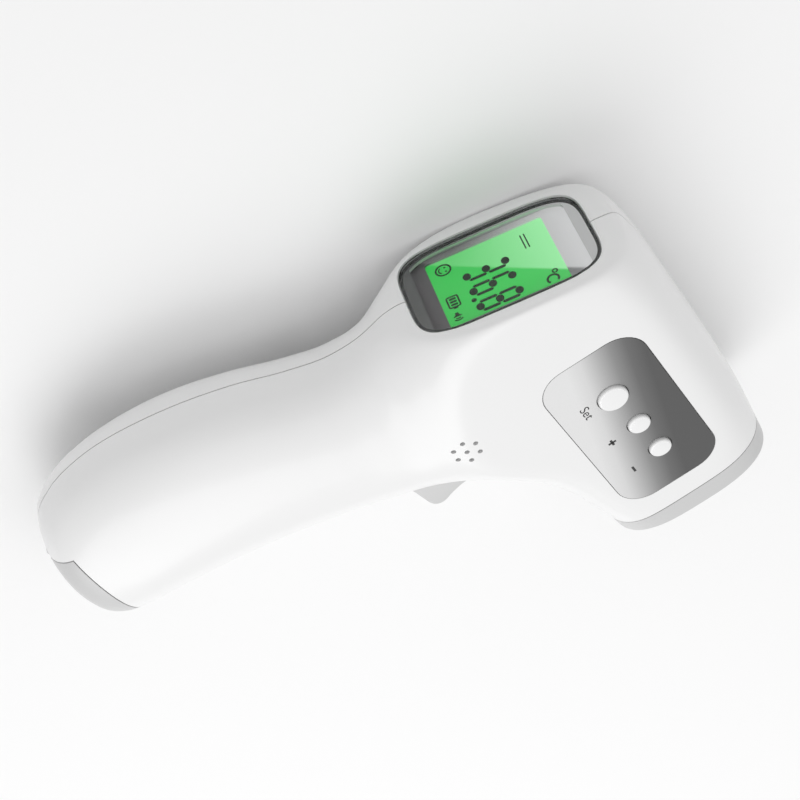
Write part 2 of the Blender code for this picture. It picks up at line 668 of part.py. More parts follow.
CATCH_SLOT = cutter(block("catch_slot", (_catch_x - 1.6 * WALL, _catch_y, -SLOT_WIDTH / 2),
                          (_catch_x + WALL, _catch_y + SLOT_HEIGHT, SLOT_WIDTH / 2), CUTTERS))
PIN_SPACE = cutter(rod("hinge_pin_space", (HINGE_X, HINGE_Y, -HINGE_PIN_LENGTH / 2 - FIT),
                       (HINGE_X, HINGE_Y, HINGE_PIN_LENGTH / 2 + FIT),
                       HINGE_PIN_RADIUS + TURN_FIT, CUTTERS, 16))
_pin_reach = half_width_at(*TRIGGER_PIN) - WALL / 2
TRIGGER_PIN_SPACE = cutter(rod("trigger_pin_space", (*TRIGGER_PIN, -_pin_reach),
                               (*TRIGGER_PIN, _pin_reach), TRIGGER_PIN_RADIUS + TURN_FIT,
                               CUTTERS, 16))


def make_right_housing():
    shell = make_housing("right_housing", 1)
    recess = rounded_rectangle(LABEL_LENGTH + 2 * FIT, LABEL_HEIGHT + 2 * FIT,
                               LABEL_CORNER + FIT, LABEL_MIDDLE)
    combine(shell, cutter(plate("label_recess", recess, -LABEL_THICKNESS - FIT, 5 * MM,
                                CUTTERS), LABEL_SIDE))
    for name, (x, y, width) in BUTTONS.items():
        combine(shell, cutter(rod(f"{name}_hole", (x, y, -2 * WALL), (x, y, WALL),
                                  width / 2 + FIT, CUTTERS), LABEL_SIDE))
    x, y = SPEAKER_MIDDLE
    spots = [(0.0, 0.0)]
    for k in range(6):
        angle = k * math.pi / 3 + math.radians(15)
        spots.append((SPEAKER_PITCH * math.cos(angle), SPEAKER_PITCH * math.sin(angle)))
    for number, (dx, dy) in enumerate(spots):
        combine(shell, cutter(rod(f"sound_hole_{number}", (x + dx, y + dy, 8 * MM),
                                  (x + dx, y + dy, 25 * MM), SPEAKER_HOLE, CUTTERS, 10)))


def make_left_housing():
    shell = make_housing("left_housing", -1)
    recess = rounded_rectangle(RATING_LENGTH + 2 * FIT, RATING_HEIGHT + 2 * FIT,
                               2 * MM, (-LABEL_MIDDLE[0], LABEL_MIDDLE[1]))
    combine(shell, cutter(plate("rating_recess", recess, -RATING_THICKNESS - FIT, 5 * MM,
                                CUTTERS), LEFT_SIDE))


def make_nozzle_ring():
    """Grey ring: the body's last stretch, closed by a flat face with a round mouth."""
    ring = body_shell("nozzle_ring", GREY)
    angles = np.linspace(0.0, np.pi, BODY_COLUMNS)
    half = body_points(np.ones_like(angles), angles)
    middle = np.array((NOZZLE_Y, 0.0))
    right = [(z, y) for y, z in middle + (half[:, 1:3] - middle) * 0.93]
    left = [(-z, y) for z, y in right[-2:0:-1]]
    face = plate("ring_face", right + left, -0.5 * MM, NOZZLE_FACE + 0.4 * MM, CUTTERS)
    cutter(face, BODY, (NOZZLE_X, 0, 0), (0, -math.pi / 2, 0))
    combine(ring, face, "UNION")
    behind = block("behind_ring", (-FAR, -FAR, -FAR), (RING_X, FAR, FAR), CUTTERS)
    combine(ring, cutter(behind))
    front = block("before_ring", (FACE_X, -FAR, -FAR), (FAR, FAR, FAR), CUTTERS)
    combine(ring, cutter(front))
    mouth = rod("mouth", (0, 0, -2 * NOZZLE_FACE), (0, 0, NOZZLE_FACE), MOUTH_RADIUS + FIT,
                CUTTERS, 40)
    combine(ring, cutter(mouth, NOZZLE))


# ------------------------------------------------------------- sensor in the nozzle
def make_sensor():
    """Funnel, thermopile can, holder and small board, along the nozzle's axis."""
    back = -FUNNEL_LENGTH
    wide = MOUTH_RADIUS - FUNNEL_WALL
    flange = -NOZZLE_FACE - FIT
    slope = (wide - FUNNEL_THROAT) / FUNNEL_LENGTH

    def cone(z, grow):
        return wide + slope * z + grow

    profile = [(cone(0, FUNNEL_WALL), 0.0), (cone(flange, FUNNEL_WALL), flange),
               (MOUTH_RADIUS + 2 * MM, flange), (MOUTH_RADIUS + 2 * MM, flange - MM),
               (cone(flange - MM, FUNNEL_WALL), flange - MM),
               (cone(back, FUNNEL_WALL), back), (cone(back, 0), back), (cone(0, 0), 0.0)]
    turned("sensor_funnel", profile, BLACK, NOZZLE)
    front = back - FIT
    bore = SENSOR_RADIUS + FIT
    outer = bore + HOLDER_WALL
    holder = [(outer, front), (outer, front - HOLDER_LENGTH), (bore, front - HOLDER_LENGTH),
              (bore, front)]
    turned("sensor_holder", holder, STEEL, NOZZLE)
    can_back = front - MM - SENSOR_LENGTH
    can = [(0.0, front - MM), (SENSOR_RADIUS - 0.4 * MM, front - MM),
           (SENSOR_RADIUS - 0.4 * MM, can_back + MM), (SENSOR_RADIUS, can_back + MM),
           (SENSOR_RADIUS, can_back), (0.0, can_back)]
    turned("ir_sensor", can, STEEL, NOZZLE)
    board = front - HOLDER_LENGTH - FIT
    disc = [(0.0, board), (outer, board), (outer, board - BOARD_THICKNESS),
            (0.0, board - BOARD_THICKNESS)]
    turned("sensor_board", disc, BOARD, NOZZLE)


# ------------------------------------------------------------- display
def make_display():
    """Window, frame, glass, contact strips, backlight and board, from the face inwards."""
    window = outline_curve("display_window", window_outline(), WINDOW_THICKNESS / 2)
    finish_piece(window, DISPLAY, DARK_GLASS, (0, 0, -WINDOW_THICKNESS / 2))
    middle = (0.0, LCD_MIDDLE)
    back = -LCD_DEPTH - LCD_THICKNESS
    outline = rounded_rectangle(FRAME_WIDTH, FRAME_HEIGHT, FRAME_CORNER,
                                (0.0, WINDOW_HEIGHT / 2))

    def slab(name, width, height, top, thickness, finish, at=middle):
        low = (at[0] - width / 2, at[1] - height / 2, top - thickness)
        high = (at[0] + width / 2, at[1] + height / 2, top)
        return finish_piece(block(name, low, high), DISPLAY, finish)

    slab("lcd_glass", LCD_WIDTH, LCD_HEIGHT, -LCD_DEPTH, LCD_THICKNESS, GLASS)
    frame_top = -LCD_DEPTH + 0.6 * MM
    frame_deep = LCD_THICKNESS + BACKLIGHT_THICKNESS + 1.4 * MM
    frame = plate("lcd_frame", outline, frame_top - frame_deep, frame_top)
    finish_piece(frame, DISPLAY, FRAME_GREY)
    hole = block("frame_hole", (-LCD_WIDTH / 2 - FIT, middle[1] - LCD_HEIGHT / 2 - FIT, -FAR),
                 (LCD_WIDTH / 2 + FIT, middle[1] + LCD_HEIGHT / 2 + FIT, FAR), CUTTERS)
    combine(frame, cutter(hole, DISPLAY))
    light_height = LCD_HEIGHT - 2 * (STRIP_WIDTH + 2 * FIT)
    slab("lcd_backlight", LCD_WIDTH, light_height, back - FIT, BACKLIGHT_THICKNESS, DIFFUSER)
    board_top = frame_top - frame_deep - FIT
    strip_top = back - FIT
    for name, sign in (("upper_contact_strip", 1), ("lower_contact_strip", -1)):
        at = (0.0, middle[1] + sign * (LCD_HEIGHT / 2 - STRIP_WIDTH / 2))
        slab(name, LCD_WIDTH - 2 * MM, STRIP_WIDTH, strip_top, strip_top - board_top - FIT,
             RUBBER, at)
    board = plate("display_board", outline, board_top - BOARD_THICKNESS, board_top)
    finish_piece(board, DISPLAY, BOARD)


# ------------------------------------------------------------- label, buttons, main board
def make_buttons():
    """Label, three buttons and their switches, and the main board under them."""
    shape = rounded_rectangle(LABEL_LENGTH, LABEL_HEIGHT, LABEL_CORNER, LABEL_MIDDLE)
    label = plate("button_label", shape, -LABEL_THICKNESS, 0.0)
    finish_piece(label, LABEL_SIDE, LABEL)
    collar_top = -WALL - FIT - 0.2 * MM
    collar_low = collar_top - MM
    plunger_top = collar_low - BUTTON_TRAVEL - FIT
    board_top = plunger_top - PLUNGER_RISE - SWITCH_HEIGHT - FIT
    for name, (x, y, width) in BUTTONS.items():
        hole = rod(f"{name}_label_hole", (x, y, -FAR), (x, y, FAR), width / 2 + FIT, CUTTERS)
        combine(label, cutter(hole, LABEL_SIDE))
        radius = width / 2
        cap = [(0.0, BUTTON_RISE), (radius - 0.3 * MM, BUTTON_RISE),
               (radius, BUTTON_RISE - 0.3 * MM), (radius, collar_top),
               (radius + BUTTON_COLLAR, collar_top), (radius + BUTTON_COLLAR, collar_low),
               (0.0, collar_low)]
        turned(f"{name}_button", cap, WHITE, LABEL_SIDE, (x, y, 0), steps=28)
        body_top = plunger_top - PLUNGER_RISE
        half = SWITCH_SIDE / 2
        switch = block(f"{name}_switch", (x - half, y - half, body_top - SWITCH_HEIGHT),
                       (x + half, y + half, body_top))
        plunger = rod(f"{name}_plunger", (x, y, body_top - MM), (x, y, plunger_top),
                      PLUNGER_RADIUS, CUTTERS, 16)
        combine(switch, cutter(plunger, LABEL_SIDE), "UNION")
        finish_piece(switch, LABEL_SIDE, BLACK)
    half = MAIN_BOARD_LENGTH / 2
    low = (6 * MM - half, LABEL_MIDDLE[1] - MAIN_BOARD_HEIGHT / 2, board_top - BOARD_THICKNESS)
    high = (6 * MM + half, LABEL_MIDDLE[1] + MAIN_BOARD_HEIGHT / 2, board_top)
    finish_piece(block("main_board", low, high), LABEL_SIDE, BOARD)
    chip_top = low[2] - FIT
    chip = block("processor_chip", (2 * MM, 22 * MM, chip_top - 1.6 * MM),
                 (12 * MM, 32 * MM, chip_top))
    finish_piece(chip, LABEL_SIDE, BLACK)


def make_rating_label():
    shape = rounded_rectangle(RATING_LENGTH, RATING_HEIGHT, 1.7 * MM,
                              (-LABEL_MIDDLE[0], LABEL_MIDDLE[1]))
    label = outline_curve("rating_label", shape, RATING_THICKNESS / 2)
    finish_piece(label, LEFT_SIDE, PAPER, (0, 0, -RATING_THICKNESS / 2))


def make_buzzer():
    x, y = SPEAKER_MIDDLE
    top = half_width_at(x, y) - WALL - 2.2 * MM
    profile = [(0.0, top), (BUZZER_RADIUS, top), (BUZZER_RADIUS, top - BUZZER_HEIGHT),
               (0.0, top - BUZZER_HEIGHT)]
    turned("buzzer", profile, BLACK, BODY, (x, y, 0), steps=24)


# ------------------------------------------------------------- trigger
def make_trigger():
    """Trigger on its pin, its return spring, and the switch behind it."""
    px, py = TRIGGER_PIN
    outline = [(x - px, y - py) for x, y in TRIGGER_SHAPE + TRIGGER_BACK]
    trigger = plate("trigger", outline, -TRIGGER_WIDTH / 2, TRIGGER_WIDTH / 2)
    bore = rod("trigger_bore", (0, 0, -TRIGGER_WIDTH), (0, 0, TRIGGER_WIDTH),
               TRIGGER_PIN_RADIUS + TURN_FIT, CUTTERS, 16)
    combine(trigger, cutter(bore, TRIGGER))
    back = block("trigger_hollow", (-9 * MM, -17 * MM, -TRIGGER_WIDTH / 2 + 2 * MM),
                 (-0.8 * MM, -6 * MM, TRIGGER_WIDTH / 2 - 2 * MM), CUTTERS)
    rib = block("trigger_rib", (-9 * MM, -15 * MM, -1.2 * MM), (FIT, -10 * MM, 1.2 * MM),
                CUTTERS)
    combine(back, cutter(rib, TRIGGER))
    combine(trigger, cutter(back, TRIGGER))
    finish_piece(trigger, TRIGGER, GREY)
    reach = _pin_reach - FIT
    pin = rod("trigger_pin", (0, 0, -reach), (0, 0, reach), TRIGGER_PIN_RADIUS, sides=16)
    finish_piece(pin, TRIGGER, STEEL)
    tip = -7.4 * MM - 12.5 * MM * TRIGGER_SWING - FIT
    plunger = rod("trigger_plunger", (tip, -12.5 * MM, 0), (tip - 2 * MM, -12.5 * MM, 0),
                  PLUNGER_RADIUS, CUTTERS, 16)
    body_x = tip - PLUNGER_RISE
    half = SWITCH_SIDE / 2
    switch = block("trigger_switch", (body_x - SWITCH_HEIGHT, -12.5 * MM - half, -half),
                   (body_x, -12.5 * MM + half, half))
    combine(switch, cutter(plunger, TRIGGER), "UNION")
    finish_piece(switch, TRIGGER, BLACK)
    board_x = body_x - SWITCH_HEIGHT - FIT
    board = block("trigger_board", (board_x - BOARD_THICKNESS, -18 * MM, -6 * MM),
                  (board_x, -7 * MM, 6 * MM))
    finish_piece(board, TRIGGER, BOARD)


# ------------------------------------------------------------- batteries
def make_batteries():
    """Two cells side by side in a tray that is open at its lower end."""
    half_x = CELL_PITCH / 2 + CELL_RADIUS + FIT + TRAY_WALL
    half_z = CELL_RADIUS + FIT + TRAY_WALL
    tray = block("battery_tray", (-half_x, 0, -half_z), (half_x, TRAY_HEIGHT, half_z))
    end = TRAY_HEIGHT - TRAY_WALL
    for name, sign in (("rear", -1), ("front", 1)):
        x = sign * CELL_PITCH / 2
        bore = rod(f"{name}_bore", (x, -MM, 0), (x, end, 0), CELL_RADIUS + FIT, CUTTERS)
        combine(tray, cutter(bore, TRAY))
        body_end = CELL_LENGTH - MM
        nub_up = sign > 0
        cell = [(0.0, CELL_LENGTH), (1.9 * MM, CELL_LENGTH), (1.9 * MM, body_end),
                (CELL_RADIUS, body_end), (CELL_RADIUS, 0.0), (0.0, 0.0)]
        place = (x, FIT if nub_up else FIT + CELL_LENGTH, 0)
        turn = (-math.pi / 2 if nub_up else math.pi / 2, 0, 0)
        turned(f"{name}_battery", cell, CELL, TRAY, place, turn, steps=24)
    finish_piece(tray, TRAY, BLACK)
    top = FIT + CELL_LENGTH + FIT
    contact = rod("positive_contact", (CELL_PITCH / 2, top, 0),
                  (CELL_PITCH / 2, top + 0.5 * MM, 0), 4 * MM, sides=20)
    finish_piece(contact, TRAY, BRASS)
    turns, steps = 2.5, 30
    coil = []
    for k in range(steps + 1):
        share = k / steps
        angle = 2 * math.pi * turns * share
        radius = (2.2 + 1.9 * share) * MM
        coil.append((-CELL_PITCH / 2 + radius * math.cos(angle),
                     top + 0.35 * MM + share * (end - top - 0.9 * MM), radius * math.sin(angle)))
    wire("negative_spring", coil, 0.3 * MM, STEEL, TRAY)
    starts = {"positive_lead": (CELL_PITCH / 2, 1), "negative_lead": (-CELL_PITCH / 2, -1)}
    for name, (x, sign) in starts.items():
        route = [(x + 1 * MM, TRAY_HEIGHT + MM, sign * 2 * MM),
                 (9 * MM, TRAY_HEIGHT + 8 * MM, sign * 2.5 * MM),
                 (9.5 * MM, TRAY_HEIGHT + 22 * MM, sign * 2.5 * MM),
                 (13 * MM, TRAY_HEIGHT + 36 * MM, sign * 2 * MM),
                 (19 * MM, TRAY_HEIGHT + 50 * MM, sign * MM + 2 * MM),
                 (24 * MM, TRAY_HEIGHT + 62 * MM, sign * MM + 3.5 * MM)]
        wire(name, smooth_path(route, 24), 0.6 * MM, RED if sign > 0 else DARK, TRAY)


def make_door():
    """Battery door: the body's bottom, with knuckle, catch and contact plate."""
    door = body_shell("battery_door", GREY)
    keep = block("door_keep", (DOOR_STEP + FIT, -FAR, -FAR), (FAR, DOOR_Y - FIT, FAR), CUTTERS)
    combine(door, cutter(keep), "INTERSECT")
    half = KNUCKLE_LENGTH / 2
    for sign in (-1, 1):
        low, high = lug(sign)
        grow = Vector((FIT, FIT, FIT))
        gap = block(f"lug_gap_{sign}", Vector(low) - grow, Vector(high) + grow, CUTTERS)
        combine(door, cutter(gap))
    knuckle = rod("knuckle", (0, 0, -half), (0, 0, half), KNUCKLE_RADIUS, CUTTERS)
    combine(door, cutter(knuckle, HINGE), "UNION")
    front = edge_at(y=DOOR_Y, front=True) - TONGUE_BACK
    floor = BOTTOM_Y + WALL / 2
    tongue = block("catch", (front - TONGUE_THICKNESS, floor + 0.4 * MM, -TONGUE_WIDTH / 2),
                   (front, DOOR_Y + TONGUE_HEIGHT, TONGUE_WIDTH / 2), CUTTERS)
    combine(door, cutter(tongue), "UNION")
    top = DOOR_Y - 1.2 * MM
    post = block("contact_post", (6 * MM, floor, -3 * MM), (13 * MM, top - 2 * FIT, 3 * MM),
                 CUTTERS)
    combine(door, cutter(post), "UNION")
    bore = rod("knuckle_bore", (0, 0, -half - FIT), (0, 0, half + FIT),
               HINGE_PIN_RADIUS + TURN_FIT, CUTTERS, 16)
    combine(door, cutter(bore, HINGE))
    plate_low = (1.5 * MM, top - 0.4 * MM, -4 * MM)
    plate_high = (17.5 * MM, top, 4 * MM)
    finish_piece(block("door_contact", plate_low, plate_high), BODY, BRASS)
    pin = rod("door_pin", (0, 0, -HINGE_PIN_LENGTH / 2), (0, 0, HINGE_PIN_LENGTH / 2),
              HINGE_PIN_RADIUS, sides=16)
    finish_piece(pin, HINGE, STEEL)


# ------------------------------------------------------------- screws
def make_screws():
    """Self-tapping screws, put in from the left."""
    for number, (x, y) in enumerate(SCREWS, 1):
        seat = -SCREW_SEAT - FIT
        profile = [(0.0, -seat + SCREW_HEAD_HEIGHT), (SCREW_HEAD_RADIUS, -seat + SCREW_HEAD_HEIGHT),
                   (SCREW_HEAD_RADIUS, -seat), (SCREW_RADIUS, -seat),
                   (SCREW_RADIUS, -SCREW_REACH), (0.0, -SCREW_REACH - SCREW_TIP)]
        turned(f"screw_{number}", profile, STEEL, BODY, (x, y, 0), (math.pi, 0, 0), steps=16)


make_right_housing()
make_left_housing()
make_nozzle_ring()
make_sensor()
make_display()
make_buttons()
make_rating_label()
make_buzzer()
make_trigger()
make_batteries()
make_door()
make_screws()
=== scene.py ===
"""Looks of the infrared forehead thermometer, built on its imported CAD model.

Shapes are worked out in the body's own axes, in millimetres: x forward to the nozzle, y up
to the top of the head, z out of the right side, with the window's lower edge at x = y = 0.
to_row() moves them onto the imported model, in metres.
"""
import json
import math

import bpy
import numpy as np
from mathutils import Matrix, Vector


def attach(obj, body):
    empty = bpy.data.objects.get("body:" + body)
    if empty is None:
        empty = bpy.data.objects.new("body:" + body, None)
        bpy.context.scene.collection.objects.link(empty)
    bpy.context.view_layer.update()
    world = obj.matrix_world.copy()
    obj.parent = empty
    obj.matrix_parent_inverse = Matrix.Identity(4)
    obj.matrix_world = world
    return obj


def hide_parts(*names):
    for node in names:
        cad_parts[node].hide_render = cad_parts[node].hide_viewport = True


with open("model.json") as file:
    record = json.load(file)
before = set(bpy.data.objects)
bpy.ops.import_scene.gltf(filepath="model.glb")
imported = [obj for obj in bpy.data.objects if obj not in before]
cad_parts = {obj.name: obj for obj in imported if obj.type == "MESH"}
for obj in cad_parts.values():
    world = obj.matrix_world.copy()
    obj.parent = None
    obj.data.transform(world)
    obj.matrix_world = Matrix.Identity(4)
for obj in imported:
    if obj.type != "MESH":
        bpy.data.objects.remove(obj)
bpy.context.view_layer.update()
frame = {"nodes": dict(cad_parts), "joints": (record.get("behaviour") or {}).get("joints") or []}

# ------------------------------------------------------------- sizes, in millimetres
WALL = 2.5
SEAM = 0.3                     # between the two housings
FIT = 0.3                      # round pieces that move or meet
LEAN = math.radians(13.0)      # the display's top leans forward
TAPER = math.radians(3.0)      # the head narrows towards the nozzle
LABEL_REACH = 43.5             # from the window forward to the label's middle line
SIDE_Z = 19.25 - LABEL_REACH * math.tan(TAPER)
RIM = 0.5                      # the bezel stands this proud of the window
WINDOW = (14.8, 22.0, 4.6)     # half width, half height, exponent
LIP = 1.6                      # the bezel's inner edge is rounded over this width
LIP_DROP = 0.45                # and falls by this much, just short of the window's face
PANE = (-1.1, -0.05)           # back and front of the window, from the display's plane
MASK = (-1.28, -1.16)          # back and front of the rings printed behind it
SCREEN = (-5.4, -3.6)          # back and front of the display glass
SURROUND = (-7.6, -3.0)        # back and front of the frame round it
SCREEN_MIDDLE = (0.0, 21.3)
LABEL_SIZE = (53.0, 26.4, 7.2)         # length, height, corner
LABEL_MIDDLE = (9.6, 25.3)
BUTTONS = {"set": (-0.9, 25.4, 7.3), "plus": (11.4, 26.4, 5.5), "minus": (22.5, 26.9, 5.5)}
SPEAKER = (32.0, -8.3, 3.1, 0.62)      # middle x and y, pitch, hole radius
SPEAKER_TURN = math.radians(-9.0)
TRIGGER_PIN = (46.3, -7.2)
TRIGGER_WIDTH = 13.0
FACE_X = 93.686                # nozzle ring's front
RING_X = 87.286                # and back
NOZZLE_Y = 26.6
BOTTOM_Y = -102.6
DOOR_Y = -94.2                 # battery door's top
DOOR_STEP = -0.5               # and rear edge
HINGE = (1.0, -100.173)
SCREWS = [(24.0, 43.2), (82.0, 38.5), (74.0, 9.4), (6.0, -33.0), (-8.0, -76.0)]
FAR = 200.0

# Sections of the body: place, rear outline x and y, front outline x and y, half width,
# where it is widest between them, and the exponent of its rounding.
SECTIONS = np.array([
    (0.00, 14.0, -102.6, 14.0, -102.6, 0.0, 0.50, 2.2),
    (0.02, 7.5, -102.2, 20.5, -101.6, 6.5, 0.50, 2.2),
    (0.05, 0.0, -100.8, 25.3, -100.0, 10.3, 0.50, 2.2),
    (0.09, -7.0, -97.4, 28.4, -97.2, 12.4, 0.50, 2.2),
    (0.15, -12.0, -90.5, 29.8, -91.5, 13.8, 0.50, 2.2),
    (0.23, -14.8, -80.0, 30.8, -82.0, 14.7, 0.50, 2.2),
    (0.31, -15.0, -68.0, 32.4, -70.5, 15.0, 0.50, 2.2),
    (0.39, -12.9, -55.5, 34.8, -58.5, 15.0, 0.50, 2.2),
    (0.47, -8.4, -43.0, 37.8, -47.5, 14.8, 0.50, 2.2),
    (0.55, -2.6, -30.5, 41.0, -37.0, 14.6, 0.52, 2.2),
    (0.61, 0.4, -21.0, 43.8, -29.0, 14.6, 0.56, 2.2),
    (0.66, 0.4, -12.0, 46.4, -22.0, 15.2, 0.60, 2.2),
    (0.70, -2.0, -4.6, 49.2, -15.5, 17.0, 0.55, 2.5),
    (0.735, -6.5, 7.0, 52.6, -9.8, 19.6, 0.48, 2.9),
    (0.77, -7.0, 22.0, 57.0, -5.0, 20.6, 0.44, 3.2),
    (0.80, -3.5, 36.0, 62.0, -1.8, 20.4, 0.44, 3.2),
    (0.83, 4.0, 46.5, 67.0, 0.3, 20.0, 0.44, 3.2),
    (0.86, 16.0, 50.0, 72.0, 2.0, 19.3, 0.46, 3.2),
    (0.90, 40.0, 50.6, 78.0, 3.4, 18.2, 0.50, 3.2),
    (0.95, 70.0, 50.2, 86.5, 4.8, 16.4, 0.52, 3.0),
    (1.00, 94.0, 48.0, 94.0, 5.2, 13.4, 0.52, 2.8),
])
TIP_SPREAD = 11.0                    # an inset fades over this length at the tip
HEAD_ROWS = (0.665, 0.865, 2.6)      # between these places rows are closer by this
FACE_BLEND, SIDE_BLEND = 5.0, 2.0    # how softly the planes limit the sections

# The trigger's joint gives where the body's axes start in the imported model.
_pin = next(j["pos_m"] for j in frame["joints"] if j["name"] == "trigger_pull")
ORIGIN = np.array(_pin) - np.array((*TRIGGER_PIN, 0.0)) / 1000.0


def to_row(points):
    """Body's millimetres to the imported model's metres."""
    return np.asarray(points, float) / 1000.0 + ORIGIN


# ------------------------------------------------------------- places on the body
def place(origin, across, up):
    """Local axes as a 3 x 4 matrix: across, up, their cross product, and the origin."""
    across, up = np.array(across, float), np.array(up, float)
    return np.stack((across, up, np.cross(across, up), np.array(origin, float)), 1)


def put(points, where):
    """Points in local axes moved to the body's axes."""
    return np.asarray(points, float) @ where[:, :3].T + where[:, 3]


BODY = place((0, 0, 0), (1, 0, 0), (0, 1, 0))
DISPLAY = place((0, 0, 0), (0, 0, 1), (math.sin(LEAN), math.cos(LEAN), 0))
LABEL = place((LABEL_REACH, 0, SIDE_Z / math.cos(TAPER)),
              (math.cos(TAPER), 0, -math.sin(TAPER)), (0, 1, 0))
RATING = place((LABEL_REACH, 0, -SIDE_Z / math.cos(TAPER)),
               (-math.cos(TAPER), 0, -math.sin(TAPER)), (0, 1, 0))
NOZZLE = place((FACE_X, NOZZLE_Y, 0), (0, 0, -1), (0, 1, 0))


# ------------------------------------------------------------- mesh helpers
def new_piece(name, points, faces, smooth=True):
    """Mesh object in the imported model's frame from points in the body's millimetres."""
    mesh = bpy.data.meshes.new(name)
    mesh.from_pydata(to_row(points), [], faces)
    obj = bpy.data.objects.new(name, mesh)
    bpy.context.scene.collection.objects.link(obj)
    if smooth:
        soften(obj)
    return obj


def soften(obj, angle=32.0):
    """Smooth shading, with edges sharper than the angle in degrees left crisp."""
    obj.data.shade_smooth()
    obj.data.set_sharp_from_angle(angle=math.radians(angle))


def grid_faces(rows, columns, start=0, wrap=False):
    """Quads of a rows x columns grid of points, joined round its columns if wrap."""
    r = np.arange(rows - 1)[:, None]
    c = np.arange(columns if wrap else columns - 1)[None, :]
    a = start + r * columns + c
    b = start + r * columns + (c + 1) % columns
    return np.stack((a, b, b + columns, a + columns), -1).reshape(-1, 4).tolist()


def prism(outline, low, high):
    """Closed prism over an outline that runs anticlockwise: its points and faces."""
    outline = np.asarray(outline, float)
    n = len(outline)
    points = np.concatenate((np.c_[outline, np.full(n, low)], np.c_[outline, np.full(n, high)]))
    k = np.arange(n)
    sides = np.stack((k, (k + 1) % n, (k + 1) % n + n, k + n), -1).tolist()
    return points, sides + [list(range(n - 1, -1, -1)), list(range(n, 2 * n))]


def prisms(name, outlines, low, high, where, smooth=False):
    """One piece of several prisms in the same local axes."""
    points, faces = [], []
    for outline in outlines:
        p, f = prism(outline, low, high)
        start = sum(len(q) for q in points)
        points.append(p)
        faces += [[i + start for i in face] for face in f]
    return new_piece(name, put(np.concatenate(points), where), faces, smooth)


def circle(x, y, radius, count=48, start=0.0, turn=2 * math.pi):
    """Points round a circle, or along an arc of it."""
    full = abs(turn) >= 2 * math.pi - 1e-6
    a = start + turn * np.arange(count) / (count if full else count - 1)
    return np.stack((x + radius * np.cos(a), y + radius * np.sin(a)), -1)


def rounded(width, height, corner, middle=(0.0, 0.0), steps=10):
    """Anticlockwise rectangle with corners that are quarter circles."""
    points = []
    for quarter, (sx, sy) in enumerate(((1, 1), (-1, 1), (-1, -1), (1, -1))):
        cx = middle[0] + sx * (width / 2 - corner)
        cy = middle[1] + sy * (height / 2 - corner)
        points.append(circle(cx, cy, corner, steps, quarter * math.pi / 2, math.pi / 2))
    return np.concatenate(points)


def window_outline(grow=0.0, steps=160):
    """Superellipse |x/a|^p + |y/b|^p = 1, with x = a cos(t)^(2/p) and y = b sin(t)^(2/p)."""
    a = 2 * math.pi * np.arange(steps) / steps
    c, s = np.cos(a), np.sin(a)
    power = 2.0 / WINDOW[2]
    x = (WINDOW[0] + grow) * np.sign(c) * np.abs(c)**power
    y = (WINDOW[1] + grow) * np.sign(s) * np.abs(s)**power
    return np.stack((x, WINDOW[1] + y), -1)


def turned(name, profile, where, at=(0.0, 0.0), steps=64):
    """Closed solid turned about the local z axis from (radius, z) points on its outer side."""
    profile = np.asarray(profile, float)
    a = 2 * math.pi * np.arange(steps) / steps
    ring = np.stack((np.cos(a), np.sin(a)), -1)
    solid = profile[0, 0] < 1e-6
    inner = profile[1:-1] if solid else np.concatenate((profile, profile[:1]))
    points = np.concatenate((inner[:, None, :1] * ring[None] + np.array(at),
                             np.broadcast_to(inner[:, None, 1:], (len(inner), steps, 1))), -1)
    points = points.reshape(-1, 3)
    faces = [face[::-1] for face in grid_faces(len(inner), steps, 0, True)]
    if solid:
        ends = np.array(((*at, profile[0, 1]), (*at, profile[-1, 1])))
        top, bottom = len(points), len(points) + 1
        points = np.concatenate((points, ends))
        k = np.arange(steps)
        last = (len(inner) - 1) * steps
        faces += np.stack((np.full(steps, top), k, (k + 1) % steps), -1).tolist()
        faces += np.stack((np.full(steps, bottom), last + (k + 1) % steps, last + k),
                          -1).tolist()
    piece = new_piece(name, put(points, where), faces, False)
    if not solid:
        weld(piece)
    soften(piece)
    return piece


def weld(obj):
    """Join the doubled points where a grid closes on itself."""
    joined = obj.modifiers.new("Weld", "WELD")
    joined.merge_threshold = 1e-6
    keep_result(obj)


def keep_result(obj):
    """Replace the mesh by what its modifiers make of it."""
    graph = bpy.context.evaluated_depsgraph_get()
    graph.update()
    mesh = bpy.data.meshes.new_from_object(obj.evaluated_get(graph))
    old = obj.data
    obj.modifiers.clear()
    obj.data = mesh
    bpy.data.meshes.remove(old)


def carve(obj, *steps):
    """Cut, join or intersect with closed shapes, in order. MANIFOLD copes with fine shells."""
    for operation, shape in steps:
        step = obj.modifiers.new(operation, "BOOLEAN")
        step.operation = operation
        step.solver = "MANIFOLD"
        step.object = shape
    keep_result(obj)
    soften(obj)


def drop(*shapes):
    """Remove the shapes that only cut or joined."""
    for shape in shapes:
        bpy.data.objects.remove(shape)


def box_shape(name, low, high):
    """Plain box, for cutting."""
    low, high = np.array(low, float), np.array(high, float)
    outline = [(low[0], low[1]), (high[0], low[1]), (high[0], high[1]), (low[0], high[1])]
    return prisms(name, [outline], low[2], high[2], BODY)


# ------------------------------------------------------------- the body's surface
def smooth_curve(at, knots, values):
    """Cubic Hermite curve through the values, with slopes from their neighbours."""
    slopes = np.gradient(values, knots, axis=0)
    i = np.clip(np.searchsorted(knots, at) - 1, 0, len(knots) - 2)
    step = knots[i + 1] - knots[i]
    u = ((at - knots[i]) / step)[..., None]
    step = step[..., None]
    start = (2 * u**3 - 3 * u**2 + 1) * values[i] + (u**3 - 2 * u**2 + u) * step * slopes[i]
    end = (3 * u**2 - 2 * u**3) * values[i + 1] + (u**3 - u**2) * step * slopes[i + 1]
    return start + end


